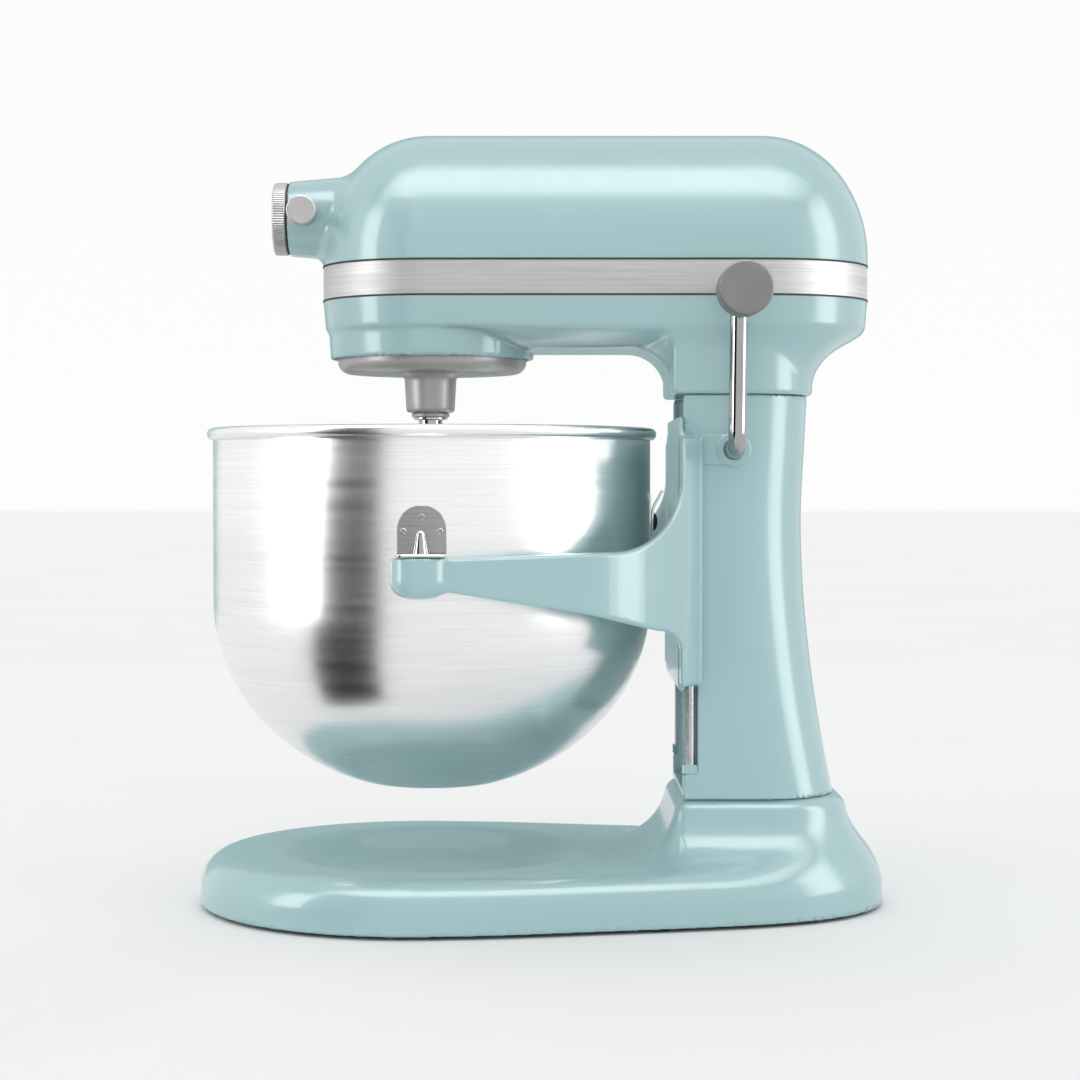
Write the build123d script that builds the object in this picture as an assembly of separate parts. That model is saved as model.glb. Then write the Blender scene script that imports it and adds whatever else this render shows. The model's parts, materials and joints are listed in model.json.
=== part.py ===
"""Bowl-lift stand mixer, built as separate pieces.

Frame: millimetres, +Z up, origin on the table under the middle of the base.
The head's nose points along -Y, the back of the column along +Y, and the
bowl-lift lever is on the +X side.
"""
from build123d import *
from math import acos, atan2, cos, pi, radians, sin, sqrt, tan
import os

# ---- whole machine ----
TOTAL_HEIGHT = 419.5
BASE_DEPTH = 371.0
BOWL_AXIS_Y = -58.8

# ---- base ----
FOOT_STAND = 1.8
BASE_SHOULDER_Z = 29.0
PLINTH_TOP_Z = 62.0
BASE_FRONT_RADIUS = 118.0
BASE_WALL = 6.0
DISH_RADIUS = 78.0
DISH_FLOOR_Z = 18.0

# ---- column ----
COLUMN_FRONT_Y = 75.6
COLUMN_HALF_WIDTH = 50.0
COLUMN_WALL = 4.5
COLUMN_BOTTOM_Z = PLINTH_TOP_Z
COLUMN_TOP_Z = 276.0
COLUMN_REAR = [
    (62, 158.8), (93, 152.7), (119, 148.3), (145, 145.0), (180, 142.0), (214, 141.2), (250, 142.9),
    (276, 144.2)
]
GUIDE_ROD_RADIUS = 2.6
GUIDE_ROD_X = 47.4
GUIDE_ROD_Y = 79.2
GUIDE_BOTTOM_Z = 76.0
GUIDE_TOP_Z = 262.0

# ---- head ----
HEAD_RADIUS = 59.4
HEAD_REAR_AXIS_Y = 119.0
HEAD_WALL = 3.6
HEAD_CROWN_RADIUS = 56.0
BAND_BOTTOM_Z = 327.3
BAND_TOP_Z = 346.7
BAND_THICK = 1.4
PARTING_Z = 337.0
CASE_WALL_BOTTOM_Z = 304.0
CASE_UNDERSIDE_Z = 300.8
COLLAR_RADIUS = 55.4
COLLAR_BOTTOM_Z = 296.0
COLLAR_BORE_RADIUS = 52.4
CASE_FLOOR_Z = 309.5
NECK_FRONT_Y = 69.5

# ---- attachment hub ----
HUB_Z = 373.0
HUB_OUTER_RADIUS = 20.2
HUB_BORE_RADIUS = 17.4
HUB_FRONT_Y = -136.3
HUB_BORE_END_Y = -112.0
HUB_SHAFT_RADIUS = 8.0
HUB_WEB_END_Y = -106.0
HUB_CAP_FRONT_Y = -144.5
HUB_KNOB_Y = -126.7

# ---- gear train ----
BEVEL_MODULE = 2.0
BEVEL_GEAR_TEETH = 45
BEVEL_PINION_TEETH = 15
BEVEL_FACE = 9.0
SPUR_MODULE = 1.25
SPUR_GEAR_TEETH = 35
MOTOR_PINION_TEETH = 10
PLANET_MODULE = 1.5
RING_TEETH = 48
PLANET_TEETH = 18
TOOTH_BACKLASH = 0.82
PRESSURE_ANGLE = radians(20)
CENTRE_SHAFT_RADIUS = 6.0
BEATER_SHAFT_RADIUS = 6.35
BEATER_END_Z = 224.0
BEATER_PIN_Z = 236.0
BEATER_JOURNAL_RADIUS = 6.8
RUN_CLEARANCE = 0.05
PLANET_OFFSET_X = (RING_TEETH - PLANET_TEETH) * PLANET_MODULE / 2

# ---- motor ----
MOTOR_Z = HUB_Z - (SPUR_GEAR_TEETH + MOTOR_PINION_TEETH) * SPUR_MODULE / 2
MOTOR_CORE_RADIUS = 38.0
ARMATURE_RADIUS = 21.0
MOTOR_REAR_Y = 140.0

# ---- bowl, its carrier and its lift ----
BOWL_RADIUS = 119.0
BOWL_RIM_RADIUS = 122.3
BOWL_RIM_Z = 255.6
BOWL_STRAIGHT_Z = 165.0
BOWL_BOTTOM_Z = 64.3
BOWL_WALL = 1.2
ARM_TOP_Z = 192.5
PIN_X = 131.0
KNUCKLE_RADIUS = 12.0
CARRIER_FRONT_Y = 72.8
LEVER_PIVOT_Y = 102.0
LEVER_PIVOT_Z = 247.0
LEVER_ROD_RADIUS = 4.5
LEVER_ROD_X = 75.0
LEVER_TOP_Z = 327.0
LEVER_KNOB_RADIUS = 13.4
CRANK_RADIUS = 27.4
CRANK_ANGLE = radians(50)

os.makedirs("parts", exist_ok=True)


def save(shape, node):
    """Write one node's solids."""
    export_step(shape, f"parts/{node}.step")


def cyl(radius, start, end):
    """Cylinder between two points."""
    a = Vector(*start)
    b = Vector(*end)
    plane = Plane(origin=a, z_dir=b - a)
    return Solid.make_cylinder(radius, (b - a).length, plane)


def box(low, high):
    """Box between two corners."""
    size = [h - l for l, h in zip(low, high)]
    return Solid.make_box(*size, Plane(origin=low))


def ring(outer, inner, start, end):
    """Tube between two points."""
    return cyl(outer, start, end) - cyl(inner, start, end)


def spin(points, axis_y=0.0, axis_x=0.0, angle=360.0):
    """Solid of revolution of (radius, z) points about a vertical axis."""
    wire = Wire.make_polygon([Vector(axis_x + r, axis_y, z) for r, z in points], close=True)
    axis = Axis((axis_x, axis_y, 0), (0, 0, 1))
    return Solid.revolve(Face(wire), angle, axis)


def side_plate(points, x_low, x_high):
    """Plate with a (y, z) outline between two x planes."""
    wire = Wire.make_polygon([Vector(x_low, y, z) for y, z in points], close=True)
    return Solid.extrude(Face(wire), Vector(x_high - x_low, 0, 0))


def flat_plate(points, z_low, z_high):
    """Plate with an (x, y) outline between two z planes."""
    wire = Wire.make_polygon([Vector(x, y, z_low) for x, y in points], close=True)
    return Solid.extrude(Face(wire), Vector(0, 0, z_high - z_low))


def arc_points(centre, radius, start_deg, end_deg, count):
    """Points on an arc, ends included."""
    steps = [start_deg + (end_deg - start_deg) * i / (count - 1) for i in range(count)]
    return [(centre[0] + radius * cos(radians(a)), centre[1] + radius * sin(radians(a))) for a in steps]


def stadium(profile_edges):
    """Head-shaped solid: a half profile (x >= 0, closed on x = 0) turned at both ends."""
    half = Face(Wire(profile_edges))
    front = half.moved(Location((0, BOWL_AXIS_Y, 0)))
    nose = Solid.revolve(front, -180, Axis((0, BOWL_AXIS_Y, 0), (0, 0, 1)))
    rear = half.moved(Location((0, HEAD_REAR_AXIS_Y, 0)))
    tail = Solid.revolve(rear, 180, Axis((0, HEAD_REAR_AXIS_Y, 0), (0, 0, 1)))
    length = HEAD_REAR_AXIS_Y - BOWL_AXIS_Y
    right = Solid.extrude(front, Vector(0, length, 0))
    left = right.mirror(Plane.YZ)
    return nose + right + left + tail


def profile_lines(points):
    """Closed half profile from (x, z) points joined by straight lines."""
    corners = [Vector(x, 0, z) for x, z in points]
    return [Edge.make_line(a, b) for a, b in zip(corners, corners[1:] + corners[:1])]


def crown_profile(inset, bottom_z, step_z=None, step_inset=0.0):
    """Half profile of the upper housing, offset inwards by inset."""
    side = HEAD_RADIUS - inset
    crown = HEAD_CROWN_RADIUS - inset
    top_z = TOTAL_HEIGHT - inset
    flat = side - crown
    spring_z = top_z - crown
    diagonal = crown * sin(radians(45))
    edges = [Edge.make_line(Vector(0, 0, bottom_z), Vector(0, 0, top_z))]
    edges.append(Edge.make_line(Vector(0, 0, top_z), Vector(flat, 0, top_z)))
    middle = Vector(flat + diagonal, 0, spring_z + diagonal)
    edges.append(Edge.make_three_point_arc(Vector(flat, 0, top_z), middle, Vector(side, 0, spring_z)))
    last = Vector(side, 0, spring_z)
    if step_z:
        edges.append(Edge.make_line(last, Vector(side, 0, step_z)))
        edges.append(Edge.make_line(Vector(side, 0, step_z), Vector(side - step_inset, 0, step_z)))
        last = Vector(side - step_inset, 0, step_z)
    edges.append(Edge.make_line(last, Vector(last.X, 0, bottom_z)))
    edges.append(Edge.make_line(Vector(last.X, 0, bottom_z), Vector(0, 0, bottom_z)))
    return edges


def d_section(z, front_y, rear_y, half_width, rear_radius):
    """Column-like wire: square front corners and round rear corners."""
    radius = min(rear_radius, half_width - 0.4)
    y0 = rear_y - radius
    x0 = half_width - radius
    d = radius * sin(radians(45))
    front_left = Vector(-half_width, front_y, z)
    front_right = Vector(half_width, front_y, z)
    right_start = Vector(half_width, y0, z)
    right_mid = Vector(x0 + d, y0 + d, z)
    right_end = Vector(x0, rear_y, z)
    left_start = Vector(-x0, rear_y, z)
    left_mid = Vector(-x0 - d, y0 + d, z)
    left_end = Vector(-half_width, y0, z)
    edges = [
        Edge.make_line(front_left, front_right),
        Edge.make_line(front_right, right_start),
        Edge.make_three_point_arc(right_start, right_mid, right_end),
        Edge.make_line(right_end, left_start),
        Edge.make_three_point_arc(left_start, left_mid, left_end),
        Edge.make_line(left_end, front_left),
    ]
    return Wire(edges)


def involute_outline(teeth, module, thickness_share, addendum, dedendum, samples=5):
    """Closed outline of an involute gear as (x, y) points, one tooth on the x axis."""
    pitch = teeth * module / 2
    base = pitch * cos(PRESSURE_ANGLE)
    tip = pitch + addendum * module
    root = pitch - dedendum * module
    half_pitch_angle = pi / teeth / 2 * thickness_share
    involute_at_pitch = tan(PRESSURE_ANGLE) - PRESSURE_ANGLE
    start = max(root, base)
    flank = []
    for i in range(samples):
        radius = start + (tip - start) * i / (samples - 1)
        roll = acos(min(1.0, base / radius))
        angle = half_pitch_angle + involute_at_pitch - (tan(roll) - roll)
        flank.append((radius, angle))
    if root < start:
        flank.insert(0, (root, flank[0][1]))
    points = []
    for tooth in range(teeth):
        middle = 2 * pi * tooth / teeth
        lower = [(r, middle - a) for r, a in flank]
        upper = [(r, middle + a) for r, a in reversed(flank)]
        points += [(r * cos(a), r * sin(a)) for r, a in lower + upper]
    return points


def spur_gear(teeth, module, plane, width, share=TOOTH_BACKLASH, addendum=0.85, dedendum=1.2):
    """Straight involute gear on a plane, extruded along its normal."""
    outline = involute_outline(teeth, module, share, addendum, dedendum)
    wire = Wire.make_polygon([plane.from_local_coords(Vector(x, y, 0)) for x, y in outline], close=True)
    return Solid.extrude(Face(wire), plane.z_dir * width)


def frustum(outer, scale, apex):
    """Solid between a planar polygon and its copy shrunk towards an apex."""
    inner = [apex + (p - apex) * scale for p in outer]
    count = len(outer)
    faces = [Face(Wire.make_polygon(outer, close=True)), Face(Wire.make_polygon(inner, close=True))]
    for i in range(count):
        j = (i + 1) % count
        faces.append(Face(Wire.make_polygon([outer[i], outer[j], inner[j], inner[i]], close=True)))
    return Solid(Shell(faces))


def bevel_pinion(axis_sign, phase):
    """Small bevel gear on the hub axis; axis_sign is -1 in front of the apex, +1 behind."""
    apex = Vector(0, BOWL_AXIS_Y, HUB_Z)
    reach = BEVEL_GEAR_TEETH * BEVEL_MODULE / 2
    outline = involute_outline(BEVEL_PINION_TEETH, BEVEL_MODULE, TOOTH_BACKLASH, 0.8, 1.15)
    turned = []
    for x, y in outline:
        radius = sqrt(x * x + y * y)
        angle = atan2(y, x) + phase
        turned.append(Vector(radius * sin(angle), axis_sign * reach, -radius * cos(angle)) + apex)
    return frustum(turned, 1 - BEVEL_FACE / reach, apex)


def crown_tooth(index):
    """One tooth of the large bevel gear as a frustum towards the apex."""
    apex = Vector(0, BOWL_AXIS_Y, HUB_Z)
    reach = BEVEL_GEAR_TEETH * BEVEL_MODULE / 2
    drop = BEVEL_PINION_TEETH * BEVEL_MODULE / 2
    cone = atan2(drop, reach)
    turn = 2 * pi * index / BEVEL_GEAR_TEETH
    radial = Vector(sin(turn), -cos(turn), 0)
    across = Vector(cos(turn), sin(turn), 0)
    normal = radial * sin(cone) + Vector(0, 0, cos(cone))
    pitch_point = apex + radial * reach - Vector(0, 0, drop)
    half = pi * BEVEL_MODULE / 4 * TOOTH_BACKLASH
    top = 0.8 * BEVEL_MODULE
    low = -1.5 * BEVEL_MODULE
    corners = []
    for height, side in ((low, -1), (low, 1), (top, 1), (top, -1)):
        width = half - height * tan(PRESSURE_ANGLE)
        corners.append(pitch_point + normal * height + across * (side * width))
    return frustum(corners, 1 - BEVEL_FACE / reach, apex)


def hex_screw(x, y, z_head, z_end, radius, head_radius, head_height, direction=1):
    """Screw along Z with a round head at z_head and its tip at z_end."""
    head = cyl(head_radius, (x, y, z_head), (x, y, z_head + direction * head_height))
    stem = cyl(radius, (x, y, z_head), (x, y, z_end))
    return head + stem


# ---------------- base and column ----------------
def base_outline(inset):
    """Plan outline of the base as one closed wire at z = 0."""
    radius = BASE_FRONT_RADIUS - inset
    centre_y = -BASE_DEPTH / 2 + BASE_FRONT_RADIUS
    tip = Vector(0, centre_y - radius, 0)
    side = Vector(radius, centre_y, 0)
    mid = Vector(radius * sin(radians(45)), centre_y - radius * cos(radians(45)), 0)
    rear = Vector(0, BASE_DEPTH / 2 - inset, 0)
    waist = [(103.6, 30), (93, 81), (82, 125), (66, 149), (46, 169)]
    inner = [Vector(x - inset * 0.95, y - inset * 0.35, 0) for x, y in waist]
    front_arc = Edge.make_three_point_arc(tip, mid, side)
    flank = Edge.make_spline([side] + inner + [rear], tangents=[Vector(0, 1, 0), Vector(-1, 0, 0)])
    right = [front_arc, flank]
    left = [edge.mirror(Plane.YZ) for edge in right]
    return Wire(right + left)


def make_base():
    """Painted base casting: rim, dish and rear plinth, hollow underneath."""
    foot_face = Face(base_outline(0)).moved(Location((0, 0, FOOT_STAND)))
    body = Solid.extrude(foot_face, Vector(0, 0, 14.0 - FOOT_STAND))
    layers = [(14.0, 0.0), (20.0, 1.6), (25.0, 5.2), (28.0, 10.5), (BASE_SHOULDER_Z, 17.0)]
    wires = [base_outline(inset).moved(Location((0, 0, z))) for z, inset in layers]
    body = body + Solid.make_loft(wires, ruled=True)
    plinth_sections = [
        (24.0, 40.0, 178.0, 84.0, 66.0),
        (32.0, 50.0, 174.5, 72.0, 58.0),
        (42.0, 57.0, 171.0, 63.0, 50.0),
        (52.0, 62.0, 168.8, 58.0, 44.0),
        (58.0, 65.0, 167.2, 56.0, 42.0),
        (PLINTH_TOP_Z, 68.0, 163.0, 53.5, 40.0),
    ]
    plinth = Solid.make_loft([d_section(*row) for row in plinth_sections], ruled=True)
    body = body + plinth
    dish = spin(
        [
            (0, 60), (0, DISH_FLOOR_Z), (48, DISH_FLOOR_Z + 1.5), (66, 24.0), (DISH_RADIUS, 29.6),
            (DISH_RADIUS, 60)
        ],
        BOWL_AXIS_Y
    )
    body = body - dish
    cavity = Solid.extrude(Face(base_outline(BASE_WALL)), Vector(0, 0, DISH_FLOOR_Z - 5.0))
    body = body - cavity
    hollow_sections = [
        (10.0, 66.0, 160.0, 60.0, 46.0), (30.0, 70.0, 160.0, 50.0, 44.0),
        (54.0, 76.0, 158.0, 46.0, 36.0)
    ]
    hollow = Solid.make_loft([d_section(*row) for row in hollow_sections], ruled=True)
    body = body - hollow
    for x, y in COLUMN_BOLT_SPOTS:
        body = body + cyl(8.0, (x, y, 44.0), (x, y, 56.0))
        body = body - cyl(3.3, (x, y, 40.0), (x, y, 70.0))
    for x, y in FOOT_SPOTS:
        body = body + cyl(10.5, (x, y, FOOT_STAND), (x, y, DISH_FLOOR_Z - 3.0))
        body = body - cyl(7.5, (x, y, 0.0), (x, y, 6.0))
    return body


COLUMN_BOLT_SPOTS = [(-34, 92), (34, 92), (-28, 138), (28, 138)]
NECK_BOLT_SPOTS = [(-32, 93), (32, 93), (-31, 125.5), (31, 125.5)]
FOOT_SPOTS = [(-82, -120), (82, -120), (-84, 60), (84, 60), (0, 158)]


def column_loft(inset, z_low, z_high):
    """Column body between two heights, moved in by inset."""
    wires = []
    for z, rear in COLUMN_REAR:
        height = min(max(z, z_low), z_high)
        wires.append(
            d_section(
                height, COLUMN_FRONT_Y + inset, rear - inset, COLUMN_HALF_WIDTH - inset,
                38.0 - inset
            )
        )
    return Solid.make_loft(wires, ruled=True)


def make_column():
    """Hollow column with guide slots, carrier recess, lever boss and bolt bosses."""
    body = column_loft(0, COLUMN_BOTTOM_Z, COLUMN_TOP_Z)
    core = column_loft(COLUMN_WALL, COLUMN_BOTTOM_Z, COLUMN_TOP_Z)
    body = body - core
    front_wall = box(
        (-COLUMN_HALF_WIDTH + 1, COLUMN_FRONT_Y + 1, COLUMN_BOTTOM_Z),
        (COLUMN_HALF_WIDTH - 1, 86.0, COLUMN_TOP_Z)
    )
    body = body + front_wall
    body = body - box((-43.0, 70.0, 66.0), (43.0, 80.0, COLUMN_TOP_Z + 1))
    body = body - box((-13.0, 70.0, 150.0), (13.0, 90.0, COLUMN_TOP_Z + 1))
    for side in (-1, 1):
        inner_x = side * (GUIDE_ROD_X - GUIDE_ROD_RADIUS - 0.6)
        outer_x = side * (COLUMN_HALF_WIDTH + 1)
        low_x = min(inner_x, outer_x)
        high_x = max(inner_x, outer_x)
        body = body - box(
            (low_x, GUIDE_ROD_Y - 3.9, GUIDE_BOTTOM_Z), (high_x, GUIDE_ROD_Y + 3.9, GUIDE_TOP_Z)
        )
        rod_pocket = cyl(
            GUIDE_ROD_RADIUS, (side * GUIDE_ROD_X, GUIDE_ROD_Y, GUIDE_BOTTOM_Z - 5),
            (side * GUIDE_ROD_X, GUIDE_ROD_Y, GUIDE_TOP_Z + 5)
        )
        body = body - rod_pocket
    pad = side_plate(
        [(86, 238), (108, 238), (110, 242), (110, 254), (104, 257), (86, 257)],
        COLUMN_HALF_WIDTH - 2, COLUMN_HALF_WIDTH + 1.2
    )
    body = body + pad
    body = body + cyl(
        11.0, (COLUMN_HALF_WIDTH - 12, LEVER_PIVOT_Y, LEVER_PIVOT_Z),
        (COLUMN_HALF_WIDTH + 1.2, LEVER_PIVOT_Y, LEVER_PIVOT_Z)
    )
    body = body - cyl(
        7.0, (COLUMN_HALF_WIDTH - 14, LEVER_PIVOT_Y, LEVER_PIVOT_Z),
        (COLUMN_HALF_WIDTH + 3, LEVER_PIVOT_Y, LEVER_PIVOT_Z)
    )
    body = body + cyl(
        11.0, (-COLUMN_HALF_WIDTH + 2, LEVER_PIVOT_Y, LEVER_PIVOT_Z),
        (-COLUMN_HALF_WIDTH + 12, LEVER_PIVOT_Y, LEVER_PIVOT_Z)
    )
    body = body - cyl(
        7.0, (-COLUMN_HALF_WIDTH + 5, LEVER_PIVOT_Y, LEVER_PIVOT_Z),
        (-COLUMN_HALF_WIDTH + 20, LEVER_PIVOT_Y, LEVER_PIVOT_Z)
    )
    for x, y in COLUMN_BOLT_SPOTS:
        body = body + cyl(7.0, (x, y, COLUMN_BOTTOM_Z), (x, y, COLUMN_BOTTOM_Z + 22))
        body = body - cyl(3.0, (x, y, COLUMN_BOTTOM_Z - 1), (x, y, COLUMN_BOTTOM_Z + 18))
    for x, y in NECK_BOLT_SPOTS:
        body = body + cyl(7.0, (x, y, COLUMN_TOP_Z - 16), (x, y, COLUMN_TOP_Z))
        body = body - cyl(3.3, (x, y, COLUMN_TOP_Z - 20), (x, y, COLUMN_TOP_Z + 1))
    body = body - cyl(8.0, (0, 140, 86), (0, 170, 86))
    return body


def make_feet():
    """Five rubber feet pressed into the base."""
    feet = []
    for x, y in FOOT_SPOTS:
        foot = cyl(9.0, (x, y, 0), (x, y, FOOT_STAND)) + cyl(7.4, (x, y, FOOT_STAND), (x, y, 5.8))
        feet.append(foot)
    return feet


def make_guide_rods():
    """Two chrome rods that the bowl carrier slides on."""
    rods = []
    for side in (-1, 1):
        x = side * GUIDE_ROD_X
        rods.append(
            cyl(
                GUIDE_ROD_RADIUS, (x, GUIDE_ROD_Y, GUIDE_BOTTOM_Z - 5),
                (x, GUIDE_ROD_Y, GUIDE_TOP_Z + 5)
            )
        )
    return rods


def make_rod_stops():
    """Rubber stops at the foot of each guide rod."""
    stops = []
    for side in (-1, 1):
        x = side * GUIDE_ROD_X
        low_x = min(side * 44.4, side * 50.4)
        high_x = max(side * 44.4, side * 50.4)
        block = box(
            (low_x, GUIDE_ROD_Y - 3.8, GUIDE_BOTTOM_Z),
            (high_x, GUIDE_ROD_Y + 3.8, GUIDE_BOTTOM_Z + 4.5)
        )
        hole = cyl(
            GUIDE_ROD_RADIUS, (x, GUIDE_ROD_Y, GUIDE_BOTTOM_Z - 1),
            (x, GUIDE_ROD_Y, GUIDE_BOTTOM_Z + 6)
        )
        stops.append(block - hole)
    return stops


# ---------------- bowl carrier ----------------
def make_carrier():
    """U-shaped bowl carrier: slide plate, guide blocks and two arms."""
    plate = box((-58.0, CARRIER_FRONT_Y, 118.0), (58.0, CARRIER_FRONT_Y + 2.5, 268.0))
    back = box((-42.0, CARRIER_FRONT_Y + 2.5, 118.0), (42.0, 79.6, 262.0))
    body = plate + back
    for side in (-1, 1):
        low_x = min(side * 50.4, side * 58.0)
        high_x = max(side * 50.4, side * 58.0)
        body = body + box((low_x, CARRIER_FRONT_Y, 124.0), (high_x, 85.4, 253.0))
        tongue_low = min(side * 44.6, side * 50.4)
        tongue_high = max(side * 44.6, side * 50.4)
        for z in (126.0, 236.0):
            body = body + box(
                (tongue_low, GUIDE_ROD_Y - 3.6, z), (tongue_high, GUIDE_ROD_Y + 3.6, z + 14)
            )
        rod_x = side * GUIDE_ROD_X
        body = body - cyl(
            GUIDE_ROD_RADIUS + RUN_CLEARANCE, (rod_x, GUIDE_ROD_Y, 100), (rod_x, GUIDE_ROD_Y, 270)
        )
    outer = [
        (50.4, 85.4), (62, 85.4), (90, 72), (118, 48), (134, 18), (140.5, -16), (140.5, -58.8),
        (124.5, -58.8)
    ]
    inner = [(127.5, -45), (127.5, -16), (121, 12), (106, 40), (82, 62), (58, CARRIER_FRONT_Y)]
    plan = flat_plate(outer + inner, 100, 280)
    top_arc = arc_points((38.0, 231.5), 35.0, -88, -4, 9)
    profile = [(-58.8, ARM_TOP_Z), (-44, ARM_TOP_Z), (20, 194.5)] + top_arc + [
        (CARRIER_FRONT_Y + 1, 253), (85.4, 253), (85.4, 124)
    ]
    profile += [(CARRIER_FRONT_Y, 124), (CARRIER_FRONT_Y, 143), (66, 153), (0, 162), (-58.8, 172.5)]
    arm = plan & side_plate(profile, 0, 160)
    knuckle = spin(
        [
            (0, 171.5), (8.5, 172.2), (11.0, 176.0), (KNUCKLE_RADIUS, 182.0),
            (KNUCKLE_RADIUS, ARM_TOP_Z), (0, ARM_TOP_Z)
        ],
        BOWL_AXIS_Y, PIN_X
    )
    arm = arm + knuckle
    arm = arm - cyl(3.0, (PIN_X, BOWL_AXIS_Y, 180), (PIN_X, BOWL_AXIS_Y, 200))
    body = body + arm + arm.mirror(Plane.YZ)
    for x, z in FORK_SCREW_SPOTS:
        body = body - cyl(2.0, (x, 74.5, z), (x, 82, z))
    body = body - box((-9.0, 70.0, 226.0), (9.0, 76.0, 240.0))
    return body


def make_locating_pins():
    """Tapered pins that the bowl drops onto."""
    pins = []
    for side in (-1, 1):
        outline = [
            (0, 181), (3.0, 181), (3.0, ARM_TOP_Z), (4.2, ARM_TOP_Z), (4.2, 194.5), (1.9, 205),
            (1.2, 206), (0, 206)
        ]
        pins.append(spin(outline, BOWL_AXIS_Y, side * PIN_X))
    return pins


def make_lift_fork():
    """Bracket from the carrier into the column, with an open slot for the crank roller."""
    foot = box((-11.0, 79.6, 194.0), (11.0, 82.6, 222.0))
    reach = box((-7.0, 82.6, 204.0), (7.0, 113.5, 210.0))
    rise = box((-7.0, 108.0, 204.0), (7.0, 113.5, 278.0))
    lower_jaw = box((-7.0, 113.5, 257.5), (7.0, 135.0, 262.0))
    upper_jaw = box((-7.0, 113.5, 274.0), (7.0, 135.0, 278.0))
    fork = foot + reach + rise + lower_jaw + upper_jaw
    for x, z in FORK_SCREW_SPOTS:
        fork = fork - cyl(2.0, (x, 79, z), (x, 83, z))
    return fork


FORK_SCREW_SPOTS = [(x, z) for x in (-8, 8) for z in (200, 216)]


def make_fork_screws():
    """Four screws that hold the lift fork on the carrier."""
    screws = []
    for x, z in FORK_SCREW_SPOTS:
        screws.append(cyl(2.0, (x, 74.6, z), (x, 82.6, z)) + cyl(2.9, (x, 82.6, z), (x, 84.4, z)))
    return screws


# ---------------- bowl ----------------
def bowl_profile(offset):
    """(radius, z) points of the bowl wall, moved inwards by offset."""
    radius = BOWL_RADIUS - offset
    depth = BOWL_STRAIGHT_Z - BOWL_BOTTOM_Z - offset
    points = []
    for i in range(19):
        angle = radians(90.0 * i / 18)
        points.append((radius * sin(angle), BOWL_STRAIGHT_Z - depth * cos(angle)))
    return points


def make_bowl():
    """Spun steel bowl with a rolled rim and a small pressed foot ring."""
    outer = bowl_profile(0)
    inner = bowl_profile(BOWL_WALL)
    rim_z = BOWL_RIM_Z
    tube = 3.3
    rim = arc_points((BOWL_RIM_RADIUS - tube, rim_z), tube, -90, 180, 12)
    wall_inner = BOWL_RADIUS - BOWL_WALL
    outline = outer + [(BOWL_RADIUS, rim_z - tube)] + rim + [(wall_inner, rim_z)] + inner[::-1]
    outline = [point for i, point in enumerate(outline) if i == 0 or point != outline[i - 1]]
    return spin(outline, BOWL_AXIS_Y)


def make_bowl_brackets():
    """Side brackets welded to the bowl: an arched plate and a pierced flange."""
    brackets = []
    for side in (-1, 1):
        arch = arc_points((BOWL_AXIS_Y, 206.0), 12.4, 0, 180, 15)
        plate = side_plate(
            [(BOWL_AXIS_Y + 12.4, 193.2)] + arch + [(BOWL_AXIS_Y - 12.4, 193.2)], 100, 140
        )
        band = ring(BOWL_RADIUS + 1.3, BOWL_RADIUS, (0, BOWL_AXIS_Y, 190), (0, BOWL_AXIS_Y, 225))
        plate = plate & band
        flange = box(
            (BOWL_RADIUS - 1.0, BOWL_AXIS_Y - 12.4, 193.0),
            (PIN_X + 11.0, BOWL_AXIS_Y + 12.4, 194.4)
        )
        flange = flange - cyl(BOWL_RADIUS, (0, BOWL_AXIS_Y, 190), (0, BOWL_AXIS_Y, 196))
        flange = flange - cyl(4.6, (PIN_X, BOWL_AXIS_Y, 190), (PIN_X, BOWL_AXIS_Y, 196))
        bracket = plate + flange
        if side < 0:
            bracket = bracket.mirror(Plane.YZ)
        brackets.append(bracket)
    return brackets


def make_rear_clip():
    """Spring clip plate at the back of the bowl with a raised tongue."""
    wall_y = BOWL_AXIS_Y + BOWL_RADIUS
    curved = ring(BOWL_RADIUS + 1.4, BOWL_RADIUS, (0, BOWL_AXIS_Y, 200), (0, BOWL_AXIS_Y, 224))
    plate = curved & box((-14, wall_y - 5, 200), (14, wall_y + 5, 224))
    tongue = side_plate(
        [(wall_y + 1.2, 216), (wall_y + 2.6, 214.8), (wall_y + 7.2, 224.5), (wall_y + 6.2, 225.0)],
        -7, 7
    )
    clip = plate + tongue
    return clip - cyl(2.6, (0, wall_y - 4, 208), (0, wall_y + 6, 208))


def make_clip_rivet():
    """Round-headed rivet that holds the rear clip."""
    wall_y = BOWL_AXIS_Y + BOWL_RADIUS
    head = cyl(5.0, (0, wall_y + 1.45, 208), (0, wall_y + 4.2, 208))
    stem = cyl(2.5, (0, wall_y + 0.1, 208), (0, wall_y + 1.45, 208))
    return head + stem


def make_bowl_handle():
    """Vertical strap handle welded to the front quarter of the bowl."""
    outline = [(-1.0, 236), (26, 238), (36, 232), (40, 220), (40, 178), (36, 166), (27, 160), (21, 160)]
    inner = [
        (21, 164), (26.5, 164), (33, 168.5), (36, 179), (36, 219), (33, 229), (25.5, 234),
        (-1.0, 232)
    ]
    section = [(BOWL_RADIUS + r, z) for r, z in outline + inner]
    wire = Wire.make_polygon([Vector(r, -15, z) for r, z in section], close=True)
    strap = Solid.extrude(Face(wire), Vector(0, 30, 0))
    strap = strap - cyl(BOWL_RADIUS, (0, 0, 150), (0, 0, 250))
    weld = ring(
        BOWL_RADIUS + 1.6, BOWL_RADIUS, (0, 0, 222), (0, 0, 246)
    ) & box((100, -19, 222), (130, 19, 246))
    handle = strap + weld
    return handle.rotate(Axis.Z, HANDLE_ANGLE).moved(Location((0, BOWL_AXIS_Y, 0)))


HANDLE_ANGLE = 222.0


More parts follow.
